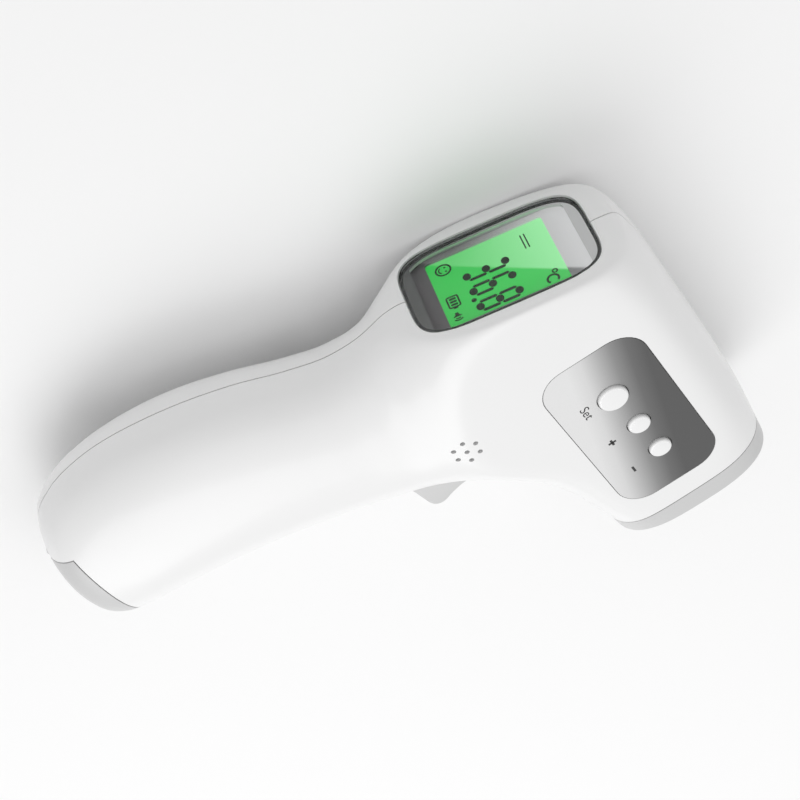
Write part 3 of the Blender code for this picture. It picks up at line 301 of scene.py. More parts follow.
def soft_limit(value, limit, blend):
    """The smaller of value and limit, rounded by a cubic where they meet."""
    near = np.maximum(blend - np.abs(value - limit), 0.0) / blend
    return np.minimum(value, limit) - near**3 * blend / 6.0


def body_points(at, angle, inset=0.0):
    """Right half of the body's surface: at runs along it and angle round each half section.

    A section is a superellipse between a rear and a front outline point. The display face
    and the head's side are planes that limit it softly.
    """
    row = smooth_curve(np.clip(at, 0.0, 1.0), SECTIONS[:, 0], SECTIONS[:, 1:])
    rear, front = row[..., 0:2], row[..., 2:4]
    half_width = np.maximum(row[..., 4], 0.0)
    span = front - rear
    depth = np.linalg.norm(span, axis=-1, keepdims=True) / 2.0
    step = span / np.maximum(2.0 * depth, 1.0) * inset * np.minimum(depth / TIP_SPREAD, 1.0)
    rise = inset * np.sqrt(1.0 - np.minimum(depth / (2.0 * TIP_SPREAD), 1.0))
    rear = rear + step + rise * np.array((0.0, 1.0))
    front = front - step + rise * np.array((0.0, 1.0))
    half_width = half_width - inset * np.minimum(half_width / TIP_SPREAD, 1.0)
    widest, power = row[..., 5], 2.0 / row[..., 6]
    across = np.abs(np.sin(angle))**power
    along = np.abs(np.cos(angle))**power
    share = np.where(np.cos(angle) > 0, widest * (1 - along), widest + (1 - widest) * along)
    flat = rear + (front - rear) * share[..., None]
    out = np.array((-math.cos(LEAN), math.sin(LEAN)))
    proud = flat @ out
    flat = flat + (soft_limit(proud, RIM - inset, FACE_BLEND) - proud)[..., None] * out
    z = half_width * across
    side = z * math.cos(TAPER) + (flat[..., 0] - LABEL_REACH) * math.sin(TAPER)
    z = z + (soft_limit(side, SIDE_Z - inset, SIDE_BLEND) - side) / math.cos(TAPER)
    return np.concatenate((flat, np.maximum(z, 0.0)[..., None]), -1)


def round_lip(points):
    """Lower the bezel towards the window along a quarter ellipse, over the lip's width."""
    local = (points - DISPLAY[:, 3]) @ DISPLAY[:, :3]
    x, y = local[..., 0], local[..., 1] - WINDOW[1]
    size = (np.abs(x / WINDOW[0])**WINDOW[2] + np.abs(y / WINDOW[1])**WINDOW[2])
    size = np.maximum(size, 1e-6)**(1.0 / WINDOW[2])
    gap = (1.0 - 1.0 / size) * np.hypot(x, y)
    share = 1.0 - np.clip(gap / LIP, 0.0, 1.0)
    lowered = LIP_DROP * (1.0 - np.sqrt(np.maximum(1.0 - share**2, 0.0)))
    on_face = np.abs(local[..., 2]) < 3.0
    return points - (lowered * on_face)[..., None] * DISPLAY[:, 2]


def body_solid(name, rows, columns, inset=0.0):
    """Closed body: the right half's grid, its mirror image, a tip and a flat nozzle end."""
    dense = np.linspace(0.0, 1.0, 1500)
    rear = body_points(dense, np.zeros_like(dense))
    front = body_points(dense, np.full_like(dense, np.pi))
    moves = np.linalg.norm(np.diff(rear, axis=0), axis=1)
    moves += np.linalg.norm(np.diff(front, axis=0), axis=1)
    start, end, closer = HEAD_ROWS
    moves *= np.where((dense[1:] > start) & (dense[1:] < end), closer, 1.0)
    walked = np.concatenate(((0.0,), np.cumsum(moves)))
    at = np.interp(np.linspace(0.0, walked[-1], rows), walked, dense)[1:]
    share = np.linspace(-1.0, 1.0, columns)
    angle = np.pi / 2 * (1.0 + np.sign(share) * (1.0 - (1.0 - np.abs(share))**1.5))
    half = body_points(*np.meshgrid(at, angle, indexing="ij"), inset)
    half[:, (0, -1), 2] = 0.0
    if inset:
        half[-1, :, 0] += inset
    else:
        half = round_lip(half)
    mirrored = half[:, -2:0:-1] * np.array((1.0, 1.0, -1.0))
    ring = np.concatenate((half, mirrored), 1)
    count = ring.shape[1]
    tip = body_points(np.zeros(1), np.zeros(1), inset)
    points = np.concatenate((tip, ring.reshape(-1, 3)))
    k = np.arange(count)
    faces = np.stack((np.zeros(count, int), 1 + (k + 1) % count, 1 + k), -1).tolist()
    faces += grid_faces(len(ring), count, 1, True)
    last = 1 + (len(ring) - 1) * count
    faces.append(list(range(last, last + count)))
    return new_piece(name, points, faces)


# ------------------------------------------------------------- housings, ring and door
inside = body_solid("inside", 130, 35, WALL)
shell = body_solid("shell", 330, 76)
carve(shell, ("DIFFERENCE", inside))


def copy_of(source, name):
    """New piece with its own copy of the mesh."""
    obj = bpy.data.objects.new(name, source.data.copy())
    bpy.context.scene.collection.objects.link(obj)
    return obj


def lug_block(side, grow=0.0):
    """Block on a housing that holds one end of the door's pin."""
    ends = sorted((side * 3.3, side * 5.9))
    return box_shape(f"lug_{side}", (-4.1 - grow, HINGE[1] - 0.7 - grow, ends[0] - grow),
                     (2.2 + grow, HINGE[1] + 2.4 + grow, ends[1] + grow))


def screw_bore(x, y):
    """Screw hole from the left: a narrow bore, then a wide one down to the screw's head."""
    bore = prisms("bore", [circle(x, y, 1.3, 24)], -6.0, -SEAM, BODY)
    seat = prisms("seat", [circle(x, y, 2.3, 40)], -30.0, -5.0, BODY)
    carve(bore, ("UNION", seat))
    drop(seat)
    return bore


def make_housings():
    """Right and left housings: the shell halved at the seam, then every opening cut."""
    window = prisms("window_cut", [window_outline(0.2)], -1.4, 6.0, DISPLAY)
    opening = prisms("opening_cut", [window_outline(-1.3)], -8.0, 0.0, DISPLAY)
    carve(window, ("UNION", opening))
    slot_outline = [(36, -28.0), (70, -28.0), (70, -9.1), (48, -9.1)]
    slot = prisms("slot_cut", [slot_outline], -7.0, 7.0, BODY)
    catch = box_shape("catch_cut", (25.5, DOOR_Y + 3.3, -4.0), (33.0, DOOR_Y + 6.0, 4.0))
    ends = box_shape("ring_cut", (RING_X - FIT, -FAR, -FAR), (FAR, FAR, FAR))
    door = box_shape("door_cut", (DOOR_STEP, -FAR, -FAR), (FAR, DOOR_Y, FAR))
    limit = body_solid("lug_limit", 130, 35, 0.1)
    common = [("DIFFERENCE", shape) for shape in (ends, door, window, slot, catch)]
    label = prisms("label_cut", [rounded(LABEL_SIZE[0] + 0.4, LABEL_SIZE[1] + 0.4,
                                         LABEL_SIZE[2] + 0.2, LABEL_MIDDLE)], -1.1, 5.0, LABEL)
    holes = prisms("button_cut", [circle(x, y, d / 2 + FIT, 64) for x, y, d in
                                  BUTTONS.values()], -5.0, 2.0, LABEL)
    x, y, pitch, radius = SPEAKER
    turns = SPEAKER_TURN + np.arange(6) * math.pi / 3
    spots = [(x, y)] + [(x + pitch * math.cos(a), y + pitch * math.sin(a)) for a in turns]
    sound = prisms("sound_cut", [circle(*spot, radius, 24) for spot in spots], 8.0, 25.0, BODY)
    left_side = box_shape("left_cut", (-FAR, -FAR, -FAR), (FAR, FAR, SEAM / 2))
    right_side = box_shape("right_cut", (-FAR, -FAR, -SEAM / 2), (FAR, FAR, FAR))
    rating = prisms("rating_cut", [rounded(42.6, 22.6, 2.0, (-LABEL_MIDDLE[0],
                                                             LABEL_MIDDLE[1]))],
                    -0.8, 5.0, RATING)
    bores = [screw_bore(*spot) for spot in SCREWS]
    lugs = [lug_block(side) for side in (1, -1)]
    for block in lugs:
        carve(block, ("INTERSECT", limit))
    right = copy_of(shell, "right_housing_shell")
    carve(right, ("DIFFERENCE", left_side), *common[:2], ("UNION", lugs[0]), *common[2:],
          ("DIFFERENCE", label), ("DIFFERENCE", holes), ("DIFFERENCE", sound))
    left = copy_of(shell, "left_housing_shell")
    seats = []
    for x, y in SCREWS:
        post = prisms("post", [circle(x, y, 3.3, 40)], -8.0, -SEAM / 2, BODY)
        seats.append(("UNION", post))
    carve(left, ("DIFFERENCE", right_side), *common[:2], ("UNION", lugs[1]), *common[2:],
          *seats, *[("DIFFERENCE", bore) for bore in bores], ("DIFFERENCE", rating))
    drop(window, opening, slot, catch, ends, door, limit, label, holes, sound, left_side,
         right_side, rating, *bores, *lugs, *[post for _, post in seats])
    return right, left


def make_nozzle_ring():
    """Grey ring: the body's end between two planes, closed by a wall with a round mouth."""
    ring = copy_of(shell, "nozzle_ring_shell")
    angles = np.linspace(0.0, np.pi, 60)
    half = body_points(np.ones_like(angles), angles)[:, 1:3]
    full = np.concatenate((half, half[-2:0:-1] * np.array((1.0, -1.0))))
    wall = (full - (NOZZLE_Y, 0.0)) * 0.95
    face = prisms("ring_face", [np.stack((-wall[:, 1], wall[:, 0]), -1)], -2.0, 0.6,
                  NOZZLE)
    behind = box_shape("behind", (-FAR, -FAR, -FAR), (RING_X, FAR, FAR))
    before = box_shape("before", (FACE_X, -FAR, -FAR), (FAR, FAR, FAR))
    mouth = prisms("mouth", [circle(0.0, 0.0, 9.3, 96)], -5.0, 3.0, NOZZLE)
    carve(ring, ("UNION", face), ("DIFFERENCE", behind), ("DIFFERENCE", before),
          ("DIFFERENCE", mouth))
    drop(face, behind, before, mouth)
    return ring


def make_door():
    """Battery door: the body's bottom, with its knuckle and catch."""
    door = copy_of(shell, "battery_door_shell")
    keep = box_shape("keep", (DOOR_STEP + FIT, -FAR, -FAR), (FAR, DOOR_Y - FIT, FAR))
    gaps = [lug_block(side, FIT) for side in (1, -1)]
    knuckle = prisms("knuckle", [circle(*HINGE, 1.2, 32)], -3.0, 3.0, BODY)
    catch = box_shape("catch", (22.9, BOTTOM_Y + 1.65, -3.5), (24.1, DOOR_Y + 6.0, 3.5))
    post = box_shape("post", (6.0, BOTTOM_Y + 1.25, -3.0), (13.0, DOOR_Y - 1.8, 3.0))
    bore = prisms("bore", [circle(*HINGE, 0.58, 24)], -4.0, 4.0, BODY)
    carve(door, ("INTERSECT", keep), ("DIFFERENCE", gaps[0]), ("DIFFERENCE", gaps[1]),
          ("UNION", knuckle), ("UNION", catch), ("UNION", post), ("DIFFERENCE", bore))
    drop(keep, *gaps, knuckle, catch, post, bore)
    return door


right_housing, left_housing = make_housings()
nozzle_ring = make_nozzle_ring()
battery_door = make_door()
drop(inside, shell)


# ------------------------------------------------------------- window and display
def make_window():
    """Tinted window with a softened edge, and a black and a grey ring printed on its back.

    The black ring is wider at the sides than at the ends, and more so on the right.
    """
    window = prisms("window_pane", [window_outline()], *PANE, DISPLAY)
    bevel = window.modifiers.new("Edge", "BEVEL")
    bevel.width = 0.00022
    bevel.segments = 2
    keep_result(window)
    soften(window, 20.0)
    outer, inner = window_outline(-0.02), window_outline(-0.7)
    side = np.clip(inner[:, 0] / WINDOW[0], -1.0, 1.0)
    inner[:, 0] -= np.where(side > 0, 0.95, 0.4) * side
    mask = flat_ring("window_mask", outer, inner)
    rim = window_outline(-1.25)
    rim[:, 0] = np.clip(rim[:, 0], -13.3, 12.8)
    rim[:, 1] = np.clip(rim[:, 1], 3.3, 40.7)
    border = flat_ring("window_border", inner, rim)
    return window, mask, border


def flat_ring(name, outer, inner):
    """Thin ring under the window between two outlines, as a closed loop of four edges."""
    low, high = np.full(len(outer), MASK[0]), np.full(len(outer), MASK[1])
    rings = [np.c_[outer, low], np.c_[inner, low], np.c_[inner, high], np.c_[outer, high]]
    grid = np.stack(rings + rings[:1])
    ring = new_piece(name, put(grid.reshape(-1, 3), DISPLAY),
                     [face[::-1] for face in grid_faces(5, len(outer), 0, True)], False)
    weld(ring)
    return ring


def make_screen():
    """Display glass: a lit plate in a wide grey frame with a stepped opening."""
    screen = prisms("lcd_screen", [rounded(25.6, 31.0, 0.6, SCREEN_MIDDLE)], *SCREEN, DISPLAY)
    soften(screen)
    surround = prisms("lcd_surround", [rounded(28.0, 38.6, 4.0, (0.0, WINDOW[1]))], *SURROUND,
                      DISPLAY)
    hole = prisms("screen_hole", [rounded(24.8, 28.6, 0.8, (0.0, 21.1))], -9.0, 0.0, DISPLAY)
    back = prisms("screen_seat", [rounded(25.8, 31.2, 0.8, SCREEN_MIDDLE)], -9.0,
                  SCREEN[1] + 0.1, DISPLAY)
    carve(surround, ("DIFFERENCE", hole), ("DIFFERENCE", back))
    drop(hole, back)
    return screen, surround


def digit(code, x, y, width, height):
    """Seven-bar digit: fat lozenges for its level bars, and slim upright bars beside them."""
    top, mid, centre = y + height, y + height / 2, x + width / 2
    levels = {"a": top, "g": mid, "d": y}
    uprights = {"b": (x + width, mid), "c": (x + width, y), "e": (x, y), "f": (x, mid)}
    shapes = []
    for bar in code:
        if bar in levels:
            shapes.append(circle(0.0, 0.0, 1.0, 12) * (1.2, 0.98) + (centre, levels[bar]))
        else:
            foot, low = uprights[bar]
            shapes.append(np.array(((foot - 0.42, low + 0.55), (foot, low + 0.2),
                                    (foot + 0.42, low + 0.55),
                                    (foot + 0.42, low + height / 2 - 0.55),
                                    (foot, low + height / 2 - 0.2),
                                    (foot - 0.42, low + height / 2 - 0.55))))
    return shapes


def band(points, half):
    """Outline of a line of even width through points."""
    points = np.asarray(points, float)
    along = np.gradient(points, axis=0)
    along /= np.linalg.norm(along, axis=1, keepdims=True)
    side = np.stack((-along[:, 1], along[:, 0]), -1) * half
    return np.concatenate((points - side, (points + side)[::-1]))


def make_figures():
    """Everything that the display shows: digits, a face, a battery, sound and degrees."""
    shapes = []
    for code, x in (("abgcd", -5.1), ("acdefg", 0.4), ("abcdefg", 5.9)):
        shapes += digit(code, x, 14.6, 3.0, 9.3)
    shapes.append(circle(4.6, 13.9, 0.62, 16))
    shapes.append(band(circle(-9.0, 10.4, 1.75, 33, 0.0, 2 * math.pi - 0.02), 0.22))
    shapes += [circle(-9.7, 10.9, 0.26, 12), circle(-8.3, 10.9, 0.26, 12)]
    shapes.append(band(circle(-9.0, 10.3, 0.95, 15, math.pi * 1.15, math.pi * 0.7), 0.16))
    frame_line = rounded(3.6, 2.6, 0.3, (2.3, 9.6), 4)
    shapes.append(band(np.concatenate((frame_line, frame_line[:1])), 0.2))
    shapes += [rounded(0.62, 1.6, 0.1, (1.3 + 0.98 * k, 9.6), 3) for k in range(3)]
    shapes.append(rounded(0.45, 1.1, 0.1, (4.5, 9.6), 3))
    shapes.append(np.array(((6.1, 8.8), (6.7, 8.8), (7.4, 8.1), (7.4, 10.3), (6.7, 9.6),
                            (6.1, 9.6))))
    for radius in (0.75, 1.35):
        shapes.append(band(circle(7.3, 9.2, radius, 9, -0.8, 1.6), 0.17))
    shapes.append(band(circle(6.2, 32.7, 0.55, 17, 0.0, 2 * math.pi - 0.05), 0.18))
    shapes.append(band(circle(8.4, 31.6, 1.3, 21, math.pi * 0.25, math.pi * 1.5), 0.26))
    shapes += [rounded(5.0, 0.3, 0.1, (-7.0, v), 3) for v in (30.2, 29.3)]
    return prisms("display_figures", shapes, SCREEN[1] + 0.02, SCREEN[1] + 0.07, DISPLAY)


# ------------------------------------------------------------- label, marks and buttons
def make_label():
    """Thin label with softened edges and three button holes."""
    label = prisms("button_label_sheet", [rounded(*LABEL_SIZE, LABEL_MIDDLE)], -0.8, 0.0,
                   LABEL)
    holes = prisms("label_holes", [circle(x, y, d / 2 + 0.3, 96) for x, y, d in
                                   BUTTONS.values()], -2.0, 2.0, LABEL)
    carve(label, ("DIFFERENCE", holes))
    drop(holes)
    bevel = label.modifiers.new("Edge", "BEVEL")
    bevel.width = 0.00012
    bevel.segments = 2
    bevel.limit_method = "ANGLE"
    bevel.angle_limit = math.radians(50)
    keep_result(label)
    soften(label, 20.0)
    return label


def make_marks():
    """Printed marks under the buttons: a word made of text, a plus and a minus."""
    text = bpy.data.curves.new("set_mark", "FONT")
    text.body = "Set"
    text.size = 3.3
    text.align_x = "CENTER"
    text.extrude = 0.01
    letters = bpy.data.objects.new("set_mark", text)
    bpy.context.scene.collection.objects.link(letters)
    letter_mesh = bpy.data.meshes.new_from_object(
        letters.evaluated_get(bpy.context.evaluated_depsgraph_get()))
    bpy.data.objects.remove(letters)
    points = np.empty(len(letter_mesh.vertices) * 3)
    letter_mesh.vertices.foreach_get("co", points)
    points = points.reshape(-1, 3) + (-1.1, 17.4, 0.012)
    faces = [list(face.vertices) for face in letter_mesh.polygons]
    word = new_piece("set_mark", put(points, LABEL), faces, False)
    weld(word)
    bars = [rounded(2.0, 0.6, 0.05, (12.3, 18.7), 3), rounded(0.6, 2.0, 0.05, (12.3, 18.7), 3),
            rounded(2.0, 0.6, 0.05, (24.5, 18.7), 3)]
    signs = prisms("sign_marks", bars, 0.002, 0.022, LABEL)
    return word, signs


def make_button(name):
    """Button: a slightly domed cap whose edge is rounded, down to its collar."""
    x, y, width = BUTTONS[name]
    radius = width / 2
    dome = np.linspace(0.0, 1.0, 9)
    top = np.stack((dome * (radius - 0.55), 1.0 - 0.16 * dome**2), -1)
    turn = np.linspace(0.0, np.pi / 2, 7)[1:]
    edge = np.stack((radius - 0.55 + 0.55 * np.sin(turn), 0.84 - 0.55 * (1 - np.cos(turn))), -1)
    foot = np.array(((radius, -3.0), (radius + 1.0, -3.0), (radius + 1.0, -4.0), (0.0, -4.0)))
    return turned(f"{name}_button_cap", np.concatenate((top, edge, foot)), LABEL, (x, y), 72)


# ------------------------------------------------------------- trigger
def make_trigger():
    """Trigger: its side outline smoothed by a closed curve, with rounded edges."""
    outline = np.array((
        (51.1, -11.8), (50.9, -14.0), (51.1, -17.0), (51.8, -20.0), (52.6, -22.2),
        (52.75, -23.8), (52.1, -25.2), (50.6, -26.1), (46.5, -26.8), (42.6, -27.45),
        (39.3, -27.3), (39.4, -24.0), (39.6, -20.0), (42.6, -10.0), (43.4, -6.2),
        (45.4, -4.9), (47.5, -6.1), (48.6, -9.3), (50.7, -9.9)))
    count = len(outline)
    closed = np.concatenate((outline[-3:], outline, outline[:3]))
    knots = np.arange(-3, count + 3, dtype=float)
    fine = smooth_curve(np.arange(0, count, 0.25), knots, closed)
    piece = prisms("trigger_lever", [fine[::-1]], -TRIGGER_WIDTH / 2, TRIGGER_WIDTH / 2, BODY)
    bevel = piece.modifiers.new("Edge", "BEVEL")
    bevel.width = 0.0009
    bevel.segments = 4
    bevel.limit_method = "ANGLE"
    bevel.angle_limit = math.radians(60)
    bore = prisms("trigger_bore", [circle(*TRIGGER_PIN, 1.08, 32)], -10.0, 10.0, BODY)
    keep_result(piece)
    carve(piece, ("DIFFERENCE", bore))
    drop(bore)
    return piece


# ------------------------------------------------------------- nozzle, screws, rating label
def make_funnel():
    """Sensor funnel: a smooth cone with a chamfered front edge and a flange behind the ring."""
    slope = (8.1 - 4.4) / 9.2
    profile = [(8.75, -0.05), (9.0, -0.3), (9.0 - slope * 2.3, -2.3), (11.0, -2.3),
               (11.0, -3.3), (9.0 - slope * 3.3, -3.3), (9.0 - slope * 9.2, -9.2),
               (4.4, -9.2), (8.1 - slope * 0.3, -0.3), (8.35, -0.05)]
    return turned("sensor_funnel_cone", profile, NOZZLE, steps=96)


def make_sensor_can():
    """Sensor: a stepped metal can, and the dark filter in its front."""
    can = [(0.0, -10.5), (3.2, -10.5), (3.7, -10.7), (3.7, -14.4), (4.1, -14.5), (4.1, -15.5),
           (0.0, -15.5)]
    filter_glass = [(0.0, -10.32), (1.75, -10.34), (1.8, -10.49), (0.0, -10.49)]
    return (turned("sensor_can", can, NOZZLE, steps=72),
            turned("sensor_filter", filter_glass, NOZZLE, steps=48))


def make_screw(number):
    """Screw: a low domed head with a cross in it, and a shank ringed like a thread."""
    x, y = SCREWS[number - 1]
    flipped = place((0, 0, 0), (1, 0, 0), (0, -1, 0))
    dome = np.linspace(0.0, 1.0, 7)
    head = np.stack((2.0 * dome, 6.6 - 0.45 * dome**2), -1)
    rest = [(2.0, 5.3), (1.0, 5.3)]
    depth = np.arange(4.8, -6.2, -0.2)
    thread = np.stack((0.88 + 0.12 * (np.arange(len(depth)) % 3 == 1), depth), -1)
    profile = np.concatenate((head, rest, thread, ((0.7, -6.6), (0.0, -7.1))))
    screw = turned(f"screw_{number}_cross", profile, flipped, (x, -y), 24)
    bars = [rounded(2.2, 0.5, 0.1, (x, y), 3), rounded(0.5, 2.2, 0.1, (x, y), 3)]
    for bar in bars:
        recess = prisms("recess", [bar], -8.0, -5.9, BODY)
        carve(screw, ("DIFFERENCE", recess))
        drop(recess)
    return screw


def make_rating_label():
    """Plain label on the left side, with a raised border line and blank fields."""
    middle = (-LABEL_MIDDLE[0], LABEL_MIDDLE[1])
    sheet = prisms("rating_label_sheet", [rounded(42.0, 22.0, 1.7, middle)], -0.5, 0.0, RATING)
    soften(sheet)
    edge = rounded(39.6, 19.6, 1.2, middle, 8)
    lines = [band(np.concatenate((edge, edge[:1])), 0.12)]
    lines += [rounded(17.0, 0.5, 0.1, (middle[0] - 9.0, middle[1] + dy), 3)
              for dy in (6.0, 3.0, 0.0, -3.0, -6.0)]
    lines += [rounded(8.0, 0.5, 0.1, (middle[0] + 7.0, middle[1] + dy), 3)
              for dy in (6.0, 3.0)]
    frame_line = rounded(8.0, 6.0, 0.8, (middle[0] + 7.0, middle[1] - 4.0), 5)
    lines.append(band(np.concatenate((frame_line, frame_line[:1])), 0.15))
    print_lines = prisms("rating_label_print", lines, 0.002, 0.02, RATING)
    return sheet, print_lines


window_pane, window_mask, window_border = make_window()
lcd_screen, lcd_surround = make_screen()
figures = make_figures()
button_label = make_label()
set_mark, sign_marks = make_marks()
caps = {name: make_button(name) for name in BUTTONS}
trigger = make_trigger()
funnel = make_funnel()
sensor_can, sensor_filter = make_sensor_can()
screws = [make_screw(number) for number in range(1, 6)]
rating_sheet, rating_print = make_rating_label()


# ------------------------------------------------------------- finishes
def moulded_group():
    """Node group: slow tone drift, uneven gloss and a fine grain, all from object space."""
    group = bpy.data.node_groups.new("moulded_surface", "ShaderNodeTree")
    side = group.interface.new_socket
    side("Position", in_out="INPUT", socket_type="NodeSocketVector")
    side("Color", in_out="INPUT", socket_type="NodeSocketColor")
    for name in ("Drift", "Roughness", "Unevenness", "Grain Scale"):
        side(name, in_out="INPUT", socket_type="NodeSocketFloat")
    side("Color", in_out="OUTPUT", socket_type="NodeSocketColor")
    side("Roughness", in_out="OUTPUT", socket_type="NodeSocketFloat")
    side("Height", in_out="OUTPUT", socket_type="NodeSocketFloat")
    nodes, links = group.nodes, group.links
    inputs, outputs = nodes.new("NodeGroupInput"), nodes.new("NodeGroupOutput")

    def noise(scale, detail):
        """Noise at a scale, or at the group's grain scale."""
        node = nodes.new("ShaderNodeTexNoise")
        node.inputs["Detail"].default_value = detail
        links.new(inputs.outputs["Position"], node.inputs["Vector"])
        if scale is None:
            links.new(inputs.outputs["Grain Scale"], node.inputs["Scale"])
        else:
            node.inputs["Scale"].default_value = scale
        return node.outputs["Fac"]

    def math_node(operation, first, second, third=None):
        """One step of arithmetic on sockets or numbers."""
        node = nodes.new("ShaderNodeMath")
        node.operation = operation
        for socket, value in zip(node.inputs, (first, second, third)):
            if value is None:
                continue
            if isinstance(value, float):
                socket.default_value = value
            else:
                links.new(value, socket)
        return node.outputs[0]

    slow = math_node("SUBTRACT", noise(25.0, 2.0), 0.5)
    tone = math_node("MULTIPLY_ADD", slow, inputs.outputs["Drift"], 1.0)
    scaled = nodes.new("ShaderNodeVectorMath")
    scaled.operation = "SCALE"
    links.new(inputs.outputs["Color"], scaled.inputs[0])
    links.new(tone, scaled.inputs["Scale"])
    links.new(scaled.outputs[0], outputs.inputs["Color"])
    patch = math_node("SUBTRACT", noise(140.0, 4.0), 0.5)
    gloss = math_node("MULTIPLY_ADD", patch, inputs.outputs["Unevenness"],
                      inputs.outputs["Roughness"])
    links.new(gloss, outputs.inputs["Roughness"])
    links.new(noise(None, 3.0), outputs.inputs["Height"])
    return group


SURFACE = moulded_group()


def new_material(name):
    """Empty Principled material and its position socket."""
    made = bpy.data.materials.new(name)
    made.use_nodes = True
    tree = made.node_tree
    where = tree.nodes.new("ShaderNodeTexCoord")
    return made, tree, tree.nodes["Principled BSDF"], where.outputs["Object"]


def finish(name, color, roughness, metallic=0.0, drift=0.03, unevenness=0.08, grain=4000.0,
           bump=0.05, depth=0.00002, coat=0.0):
    """Moulded, printed or machined surface: the shared group feeds colour, gloss and bump."""
    made, tree, shader, where = new_material(name)
    group = tree.nodes.new("ShaderNodeGroup")
    group.node_tree = SURFACE
    tree.links.new(where, group.inputs["Position"])
    if isinstance(color, tuple):
        group.inputs["Color"].default_value = (*color, 1.0)
    else:
        tree.links.new(color(tree, where), group.inputs["Color"])
    group.inputs["Drift"].default_value = drift
    group.inputs["Roughness"].default_value = roughness
    group.inputs["Unevenness"].default_value = unevenness
    group.inputs["Grain Scale"].default_value = grain
    shader.inputs["Metallic"].default_value = metallic
    shader.inputs["Coat Weight"].default_value = coat
    relief = tree.nodes.new("ShaderNodeBump")
    relief.inputs["Strength"].default_value = bump
    relief.inputs["Distance"].default_value = depth
    tree.links.new(group.outputs["Color"], shader.inputs["Base Color"])
    tree.links.new(group.outputs["Roughness"], shader.inputs["Roughness"])
    tree.links.new(group.outputs["Height"], relief.inputs["Height"])
    tree.links.new(relief.outputs["Normal"], shader.inputs["Normal"])
    return made


def along(tree, where, start, end):
    """0 at start and 1 at end, both points in the body's millimetres, straight between."""
    start, end = to_row(start), to_row(end)
    way = (end - start) / np.dot(end - start, end - start)
    dot = tree.nodes.new("ShaderNodeVectorMath")
    dot.operation = "DOT_PRODUCT"
    dot.inputs[1].default_value = way
    tree.links.new(where, dot.inputs[0])
    shift = tree.nodes.new("ShaderNodeMath")
    shift.operation = "SUBTRACT"
    shift.use_clamp = True
    shift.inputs[1].default_value = float(np.dot(start, way))
    tree.links.new(dot.outputs["Value"], shift.inputs[0])
    return shift.outputs[0]


def ramp(tree, factor, stops):
    """Colours at places from 0 to 1, smoothly mixed."""
    node = tree.nodes.new("ShaderNodeValToRGB")
    elements = node.color_ramp.elements
    while len(elements) < len(stops):
        elements.new(0.5)
    for element, (spot, color) in zip(elements, stops):
        element.position = spot
        element.color = (*color, 1.0)
    tree.links.new(factor, node.inputs["Fac"])
    return node.outputs["Color"]


def grey(value):
    """Neutral colour."""
    return (value, value, value)


def label_tone(tree, where):
    """Silver that darkens from the label's rear bottom corner to its front top corner."""
    start = put((5.0, 16.0, 0.0), LABEL)
    end = put((8.85, 34.0, 0.0), LABEL)
    stops = [(0.0, grey(0.78)), (0.2, grey(0.69)), (0.42, grey(0.45)), (0.6, grey(0.27)),
             (0.8, grey(0.145)), (1.0, grey(0.095))]
    return ramp(tree, along(tree, where, start, end), stops)


def painted_glare(tree, where, low, high):
    """Painted reflection: a pale sheen painted above a slanting line across the window, stronger
    towards the top.
    """
    line = np.array((-1.5, 23.1))
    rise = np.array((-0.81, 0.586)) * 0.35
    step = along(tree, where, put((*(line - rise), -3.3), DISPLAY),
                 put((*(line + rise), -3.3), DISPLAY))
    climb = ramp(tree, along(tree, where, put((0.0, 14.0, -3.3), DISPLAY),
                             put((0.0, 42.0, -3.3), DISPLAY)),
                 [(0.0, grey(low)), (1.0, grey(high))])
    shown = tree.nodes.new("ShaderNodeVectorMath")
    shown.operation = "SCALE"
    tree.links.new(climb, shown.inputs[0])
    tree.links.new(step, shown.inputs["Scale"])
    return shown.outputs[0]


def add(tree, first, second):
    """Sum of two colours."""
    node = tree.nodes.new("ShaderNodeVectorMath")
    tree.links.new(first, node.inputs[0])
    tree.links.new(second, node.inputs[1])
    return node.outputs[0]


def lit_screen():
    """Backlit green, with painted light in its emission: paler towards its upper left corner as
    a painted reflection, deeper at its right edge as painted shade from the window's border, and
    the painted glare added on top.
    """
    made, tree, shader, where = new_material("lit_green_screen")
    # Painted reflection: the green is paler towards the upper left corner.
    corner = along(tree, where, put((5.0, 7.0, -3.6), DISPLAY),
                   put((-8.0, 38.0, -3.6), DISPLAY))
    body = ramp(tree, corner, [(0.0, (0.012, 0.43, 0.045)), (0.5, (0.016, 0.47, 0.055)),
                               (1.0, (0.05, 0.52, 0.09))])
    # Painted shade: the green darkens towards the right edge, where the window's border shades
    # it.
    edge = ramp(tree, along(tree, where, put((4.0, 20.0, -3.6), DISPLAY),
                            put((12.8, 20.0, -3.6), DISPLAY)),
                [(0.0, grey(1.0)), (0.6, grey(0.9)), (1.0, grey(0.5))])
    mixed = tree.nodes.new("ShaderNodeMix")
    mixed.data_type = "RGBA"
    mixed.blend_type = "MULTIPLY"
    mixed.inputs["Factor"].default_value = 1.0
    tree.links.new(body, mixed.inputs[6])
    tree.links.new(edge, mixed.inputs[7])
    # Painted reflection: the pale glare is added to the screen's emission.
    screen_with_painted_glare = add(tree, mixed.outputs[2], painted_glare(tree, where, 0.1, 0.32))
    tree.links.new(screen_with_painted_glare, shader.inputs["Emission Color"])
    shader.inputs["Emission Strength"].default_value = 1.0
    shader.inputs["Base Color"].default_value = (0.03, 0.16, 0.05, 1.0)
    shader.inputs["Roughness"].default_value = 0.35
    return made


def surround_painted_reflection(tree, where):
    """Grey-violet frame round the screen, paler towards its top as a painted reflection."""
    return ramp(tree, along(tree, where, put((0.0, 2.0, -3.0), DISPLAY),
                            put((-3.0, 42.0, -3.0), DISPLAY)),
                [(0.0, (0.17, 0.15, 0.165)), (0.5, (0.25, 0.24, 0.25)),
                 (1.0, (0.55, 0.53, 0.55))])


